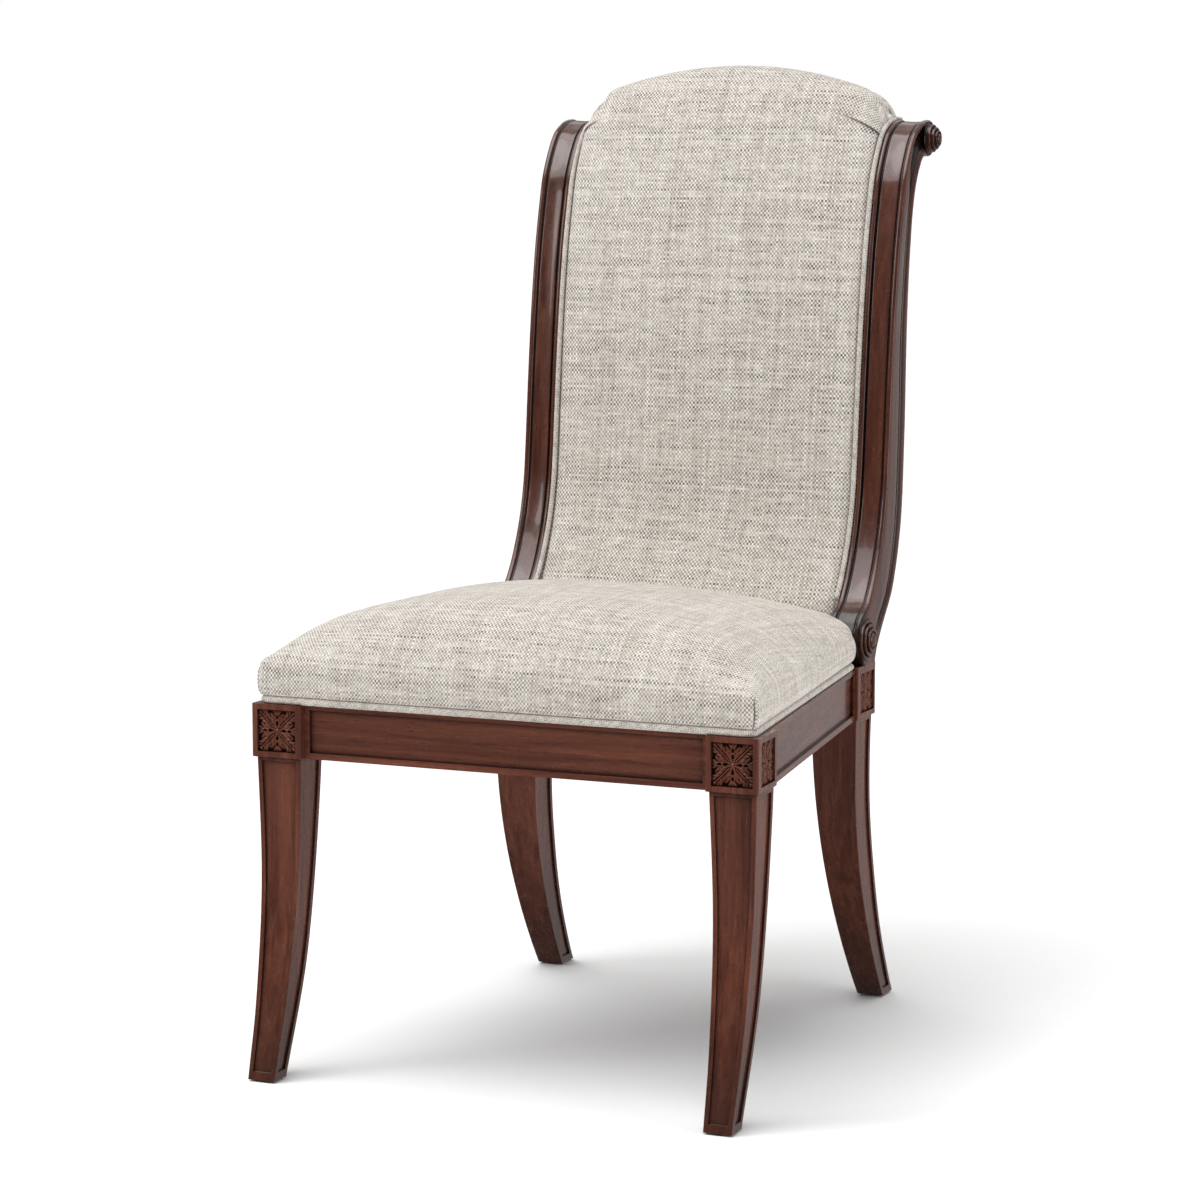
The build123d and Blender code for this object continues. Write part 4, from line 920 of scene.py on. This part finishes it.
def patera(name, x, y, zc, turn, side):
    loc = np.stack([ga, depth, gb], -1).reshape(-1, 3)
    ring = [(i, 0) for i in range(N + 1)] + [(N, j) for j in range(1, N + 1)] + [(i, N) for i in range(N - 1, -1, -1)] + \
           [(0, j) for j in range(N - 1, 0, -1)]
    back_ = np.array([(ga[q], 4.5, gb[q]) for q in ring])
    pts = np.vstack([loc, back_])
    a = math.radians(turn)
    px = np.stack([pts[:, 0] * math.cos(a) - pts[:, 1] * math.sin(a), pts[:, 0] * math.sin(a) + pts[:, 1] * math.cos(a), pts[:, 2]], -1)
    px += np.array([x, y, zc])
    idx = np.arange((N + 1) ** 2).reshape(N + 1, N + 1)
    faces = []
    for i in range(N):
        for j in range(N):
            faces.append([idx[i, j], idx[i + 1, j], idx[i + 1, j + 1], idx[i, j + 1]])
    nb = (N + 1) ** 2
    L = len(ring)
    for k in range(L):
        q, q2 = ring[k], ring[(k + 1) % L]
        faces.append([idx[q], nb + k, nb + (k + 1) % L, idx[q2]])
    faces.append([nb + k for k in range(L)][::-1])
    if side < 0:
        px[:, 0] *= -1
        faces = [fa[::-1] for fa in faces]
    # the tablet's edge walls are painted dark, a shadow gap round it
    low = np.concatenate([hollow.reshape(-1), np.full(L, 0.9)])
    o = piece(name, px, faces, M_CARVED, None, {"low": low})
    return o


taper = math.tan(math.radians(3.0))
for nm, x_, y_, turn in (("front_patera", 256.2, 0.0, 0), ("side_patera_front", 285.0 - taper * 31, 31.0, 93), ("side_patera_rear", 223.0, 499.0, 90)):
    for side, sn in ((1, "right"), (-1, "left")):
        o = patera("carved_" + nm + "_" + sn, x_, y_, 367.7, turn, side)
        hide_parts(nm + "_" + sn)


# ---------------------------------------------------------------- turned bosses
def lathe(name, prof, centre, side, mat, segs=80):
    """Turned piece about the X axis; prof is (radius, projection, painted shade in hollows), rim to middle."""
    p = np.array(prof, float)
    verts, faces, hollow_shade = [], [], []
    a = np.linspace(0, 2 * np.pi, segs, endpoint=False)
    for r_, h_, l_ in p[:-1]:
        for q in a:
            verts.append((side * (STILE_X1 + h_), centre[0] + r_ * math.cos(q), centre[1] + r_ * math.sin(q)))
            hollow_shade.append(l_)
    verts.append((side * (STILE_X1 + p[-1][1]), *centre))
    verts.append((side * (STILE_X1 + p[0][1]), *centre))
    hollow_shade += [0, 0]
    m = len(p) - 1
    for i in range(m - 1):
        for k in range(segs):
            k2 = (k + 1) % segs
            faces.append([i * segs + k, i * segs + k2, (i + 1) * segs + k2, (i + 1) * segs + k])
    for k in range(segs):
        k2 = (k + 1) % segs
        faces.append([(m - 1) * segs + k, (m - 1) * segs + k2, m * segs])
        faces.append([k2, k, m * segs + 1])
    if side < 0:
        faces = [fa[::-1] for fa in faces]
    return piece(name, np.array(verts), faces, mat, None, {"low": hollow_shade})


def step_bead(r0, r1, h0, h1):
    """One step of a boss: wall from h0 up to a round bead of height h1 between radii r0 and r1, and the quirk inside
    it, with painted shade at the wall's foot and in the quirk.
    """
    m = (r0 + r1) / 2
    e = (r0 - r1) / 2
    p = [(r0 + 0.1, h0, 0.9), (r0, h0 + 0.25 * (h1 - h0), 0.35), (r0, h0 + 0.6 * (h1 - h0), 0.08)]
    p += [(m + e * math.cos(t), h1 - 0.85 + 0.85 * math.sin(t), 0.0) for t in np.linspace(0.15, math.pi - 0.15, 9)]
    p += [(r1, h1 - 1.4, 0.6), (r1 - 0.15, h1 - 2.0, 0.95), (r1 - 1.0, h1 - 2.0, 0.95)]
    return p


def button(r0, h0, h1):
    p = [(r0 + 0.1, h0, 0.9), (r0, h0 + 0.4, 0.4)]
    p += [(r0 * math.cos(t), h0 + 0.4 + (h1 - h0 - 0.4) * math.sin(t), 0.0) for t in np.linspace(0.1, math.pi / 2 - 0.12, 8)]
    return p + [(0, h1, 0.0)]


# the first two rows of each profile lay a thin near-black ring on the stile round the boss: a painted shadow line
UPPER = [(19.4, 0.04, 0.97), (16.2, 0.05, 0.97)] + step_bead(15.8, 13.9, 0.1, 5.9) + step_bead(12.7, 10.6, 3.9, 9.6) + \
    step_bead(9.4, 7.2, 7.6, 12.2) + button(5.8, 10.2, 14.2)
LOWER = [(24.8, 0.04, 0.97), (23.4, 0.05, 0.97)] + step_bead(23.2, 20.2, 0.1, 2.9) + step_bead(18.6, 15.2, 0.9, 5.7) + \
    step_bead(13.6, 10.4, 3.7, 8.2) + button(8.8, 6.2, 10.6)
for side, sn in ((1, "right"), (-1, "left")):
    o = lathe("upper_boss_" + sn, UPPER, UP_C, side, M_STILE_SHADED)
    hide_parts("upper_scroll_boss_" + sn)
    o = lathe("lower_boss_" + sn, [(0.97 * r_, h_, l_) for r_, h_, l_ in LOWER], (LO_C[0] - 4.0, LO_C[1] + 3.2), side, M_STILE_SHADED)
    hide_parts("lower_scroll_boss_" + sn)

# ---------------------------------------------------------------- back stiles
ARC = lambda d: (UP_C[0] + UP_R * math.cos(math.radians(d)), UP_C[1] + UP_R * math.sin(math.radians(d)))
STILE_R = [(521, 398.5), (525, 408), (533, 421), (550, 441), (579, 474), (598, 517), (609, 560), (613.5, 610), (616.5, 654), (618.5, 710),
           (620.5, 765), (625, 820), (631, 865), (638.5, 904), (647.5, 928), (662, 950), (677, 963)]
rc = Run(STILE_R)


def rear_y(z):
    return float(np.interp(z, rc.d[:, 1], rc.d[:, 0]))


pairs = [((482, 398.5), 398.5), ((475, 404), 403.5), ((468.5, 415), 414), ((466.5, 431), 428), ((470, 445), 441), ((479, 455.5), 452),
         ((492, 463.5), 463), ((505, 474), 477), ((522.8, 500), 505)]
pairs += [(q, q[1] + d) for q, d in (((541.5, 540), 2), ((552.5, 580), 1), ((558, 620), 0), ((562, 660), 0), ((566, 700), 0),
                                     ((570.5, 740), 0), ((575.5, 780), 0), ((581.4, 820), 0), ((588.7, 860), -1), ((598.5, 900), -4),
                                     ((611, 940), -12), ((637, 980), -26))]
keys = [(q, (rear_y(z), z)) for q, z in pairs]
keys += [((660, 994.5), ARC(246)), ((676, 999.2), ARC(284)), ((690, 1000.3), ARC(322)), (ARC(76), ARC(352)), (ARC(64), ARC(14)), (ARC(54), ARC(30)), (ARC(46), ARC(38))]
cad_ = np.array([k[0] for k in keys], float)
rk_ = np.array([k[1] for k in keys], float)
FF, RR = hermite(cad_, 8), hermite(rk_, 8)


def stile(name, side):
    # third column of the profiles: painted shade in the grooves and the side recess, partly dark glazing, partly shadow
    front = [(187.5, 1.6, 0), (187.65, 0.9, 0), (188.1, 0.4, 0), (188.9, 0.05, 0), (190.2, -0.15, 0), (191.4, -0.1, 0), (192.3, 0.2, 0),
             (192.9, 0.8, 0.2), (193.2, 1.8, 0.8), (193.5, 3.2, 1), (194.4, 3.5, 1), (195.2, 3.2, 1), (195.5, 2.3, 0.6), (195.9, 1.75, 0.1),
             (197, 1.7, 0), (200, 2.0, 0), (206, 2.3, 0), (212, 2.0, 0), (215.2, 1.7, 0), (216.4, 1.8, 0.1), (216.8, 2.4, 0.5),
             (217.1, 2.9, 0.6), (217.7, 3.0, 0.65), (218.3, 2.6, 0.5), (218.6, 1.5, 0.25), (219.0, 0.7, 0.1), (219.8, 0.15, 0), (221.3, -0.15, 0),
             (222.6, 0.0, 0), (223.6, 0.35, 0), (224.25, 0.9, 0), (224.5, 1.8, 0)]
    verts, hollow_shade, n = [], [], None
    for F_, R_ in zip(FF, RR):
        c = R_ - F_
        D = np.hypot(*c)
        e = c / D
        mf = np.clip((F_[1] - 436.0) / 9.0, 0, 1) if F_[0] < 560 else 1.0
        mf *= np.clip(D / 30.0, 0, 1)
        ms = np.clip((R_[1] - 432.0) / 16.0, 0, 1) * np.clip((694.0 - F_[0]) / 22.0, 0, 1)
        w = min(0.52 * D, 25.0)
        k = np.clip((F_[1] - 918.0) / 52.0, 0, 1)
        k = k * k * (3 - 2 * k)
        a0 = (1 - k) * (D - w) + k * min(5.0, D - w)      # flat band, narrower round the upper eye
        ov = D - 0.58 * w
        sh = min(D / 12.0, 1.0)
        # painted shadow on the front of the lower scroll, under its overhang
        toe_shadow = 0.85 * np.clip((466.0 - F_[1]) / 14.0, 0, 1) * (F_[0] < 500)
        loop_ = [(x, (d if d < 1.65 and (x < 188.95 or x > 222.5) else d * mf) * sh, max(l * mf, toe_shadow)) for x, d, l in front]
        side_ = [(0, 0.35 * a0, 0), (0, 0.7 * a0, 0), (0, a0 - 0.9, 0), (0.12, a0 - 0.35, 0), (0.6, a0, 0.5), (4.0, a0 + 0.35, 1), (4.3, a0 + 0.8, 1),
                 (4.3, 0.5 * (a0 + ov), 0.95), (4.3, ov, 0.9)]
        side_ += [(4.3 - 4.0 * math.sin(t), ov + 0.41 * w * (1 - math.cos(t)), 0.75 * math.cos(t)) for t in np.linspace(0.12, math.pi / 2, 8)]
        loop_ += [(224.5 - ms * o_, d, ms * l) for o_, d, l in side_]
        loop_ += [(224.4 - 0.2 * ms, D - 0.10 * w, 0), (224.0, D - 0.045 * w, 0), (223.0, D - 0.015 * w, 0), (221.6, D, 0),
                  (206.0, D, 0), (190.5, D, 0), (188.4, D - 0.3 * sh, 0), (187.7, D - 1.0 * sh, 0), (187.5, D - 2.2 * sh, 0),
                  (187.5, 0.6 * D, 0), (187.5, 0.3 * D, 0)]
        n = len(loop_)
        for x, d, l in loop_:
            verts.append((side * x, F_[0] + e[0] * d, F_[1] + e[1] * d))
            hollow_shade.append(l)
    m = len(FF)
    faces = []
    for i in range(m - 1):
        for k in range(n):
            k2 = (k + 1) % n
            faces.append([i * n + k, i * n + k2, (i + 1) * n + k2, (i + 1) * n + k])
    faces.append([k for k in range(n)][::-1])
    faces.append([(m - 1) * n + k for k in range(n)])
    if side < 0:
        faces = [fa[::-1] for fa in faces]
    return piece(name, np.array(verts), faces, M_STILE_SHADED, None, {"low": hollow_shade})


for side, sn in ((1, "right"), (-1, "left")):
    o = stile("scroll_stile_" + sn, side)
    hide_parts("back_stile_" + sn)

# ---------------------------------------------------------------- stage, light and camera
sc = bpy.context.scene


def flat_mat(name, c, rough):
    T = Tree(name)
    n = T.noise(T.node("TexCoord").outputs["Object"], 3.0, 3.0, 0.5)
    T.put(T.bsdf, "Base Color", T.ramp(n, [(0.3, tuple(q * 0.985 for q in c)), (0.7, c)]))
    T.bsdf.inputs["Roughness"].default_value = rough
    T.bsdf.inputs["Specular IOR Level"].default_value = 0.2
    return T.mat


L = 60.0
me = bpy.data.meshes.new("floor")
me.from_pydata([(-L, -L, -0.0005), (L, -L, -0.0005), (L, L, -0.0005), (-L, L, -0.0005)], [], [(0, 1, 2, 3)])
floor = bpy.data.objects.new("floor", me)
floor_mat = flat_mat("studio_floor", (0.94, 0.94, 0.94), 0.8)
ft = floor_mat.node_tree
see = ft.nodes.new("ShaderNodeBsdfTransparent")
two = ft.nodes.new("ShaderNodeMixShader")
geo = ft.nodes.new("ShaderNodeNewGeometry")
ft.links.new(geo.outputs["Backfacing"], two.inputs[0])
ft.links.new(next(n for n in ft.nodes if n.type == "BSDF_PRINCIPLED").outputs[0], two.inputs[1])
ft.links.new(see.outputs[0], two.inputs[2])
ft.links.new(two.outputs[0], next(n for n in ft.nodes if n.type == "OUTPUT_MATERIAL").inputs[0])
me.materials.append(floor_mat)
sc.collection.objects.link(floor)
floor.visible_glossy = False

# studio surround: bright above and behind, dim on the side of the camera
world = bpy.data.worlds.new("studio")
world.use_nodes = True
wt = world.node_tree
bg = next(n for n in wt.nodes if n.type == "BACKGROUND")
tc = wt.nodes.new("ShaderNodeTexCoord")
sx = wt.nodes.new("ShaderNodeSeparateXYZ")
wt.links.new(tc.outputs["Generated"], sx.inputs[0])


def world_range(sock, a, b, c, d):
    n = wt.nodes.new("ShaderNodeMapRange")
    n.interpolation_type = "SMOOTHSTEP"
    wt.links.new(sock, n.inputs["Value"])
    for k, x in zip(("From Min", "From Max", "To Min", "To Max"), (a, b, c, d)):
        n.inputs[k].default_value = x
    return n.outputs[0]


def world_math(op, a, b):
    n = wt.nodes.new("ShaderNodeMath")
    n.operation = op
    wt.links.new(a, n.inputs[0])
    wt.links.new(b, n.inputs[1])
    return n.outputs[0]


above = world_math("MULTIPLY", world_range(sx.outputs[1], -0.6, 0.5, 0.14, 1.0), world_range(sx.outputs[2], 0.25, 0.9, 1.0, 0.45))
below = world_range(sx.outputs[1], -0.25, 0.75, 0.06, 0.34)
up = world_math("MULTIPLY", above, world_range(sx.outputs[2], -0.07, -0.03, 0.0, 1.0))
dn = world_math("MULTIPLY", below, world_range(sx.outputs[2], -0.07, -0.03, 1.0, 0.0))
total_light = world_math("ADD", up, dn)
dim = world_math("MULTIPLY", world_range(sx.outputs[2], -0.06, -0.02, 0.0, 1.0), world_range(sx.outputs[2], 0.18, 0.5, 1.0, 0.0))
lp = wt.nodes.new("ShaderNodeLightPath")
dim = world_math("MULTIPLY", dim, lp.outputs["Is Glossy Ray"])
keep = wt.nodes.new("ShaderNodeMath")
keep.operation = "MULTIPLY_ADD"
wt.links.new(dim, keep.inputs[0])
keep.inputs[1].default_value = -0.82
keep.inputs[2].default_value = 1.0
shown = world_math("MAXIMUM", world_math("MULTIPLY", total_light, keep.outputs[0]), lp.outputs["Is Camera Ray"])
bg.inputs[0].default_value = (1.0, 1.0, 1.0, 1)
wt.links.new(shown, bg.inputs[1])
sc.world = world


def aimed(o, loc, aim):
    from mathutils import Vector
    o.location = loc
    o.rotation_euler = (Vector(aim) - Vector(loc)).to_track_quat("-Z", "Y").to_euler()
    sc.collection.objects.link(o)
    return o


def area_light(name, loc, aim, size, watts):
    d = bpy.data.lights.new(name, "AREA")
    d.shape = "SQUARE"
    d.size = size
    d.energy = watts
    return aimed(bpy.data.objects.new(name, d), loc, aim)


sun = bpy.data.lights.new("key", "SUN")
sun.energy = 2.75
sun.angle = math.radians(62)
aimed(bpy.data.objects.new("key", sun), (-0.9, -1.15, 4.3), (0, 0, 0.5))
area_light("side", (-1.9, -1.7, 1.7), (0, 0.1, 0.7), 0.9, 12)
area_light("top", (-0.9, -0.6, 2.9), (0, 0, 0.5), 1.0, 7)
area_light("fill", (2.7, -0.4, 0.8), (0, 0, 0.45), 1.5, 20)

cam = bpy.data.cameras.new("camera")
cam.lens = 112.29
cam.sensor_width = 36.0
cam.sensor_fit = "HORIZONTAL"
cam.clip_end = 200.0
co = bpy.data.objects.new("camera", cam)
co.location = (1.594, -3.7485, 1.0224)
co.rotation_euler = (math.radians(82.40), 0.0, math.radians(23.45))
sc.collection.objects.link(co)
sc.camera = co
sc.view_settings.view_transform = "Standard"
sc.view_settings.look = "None"
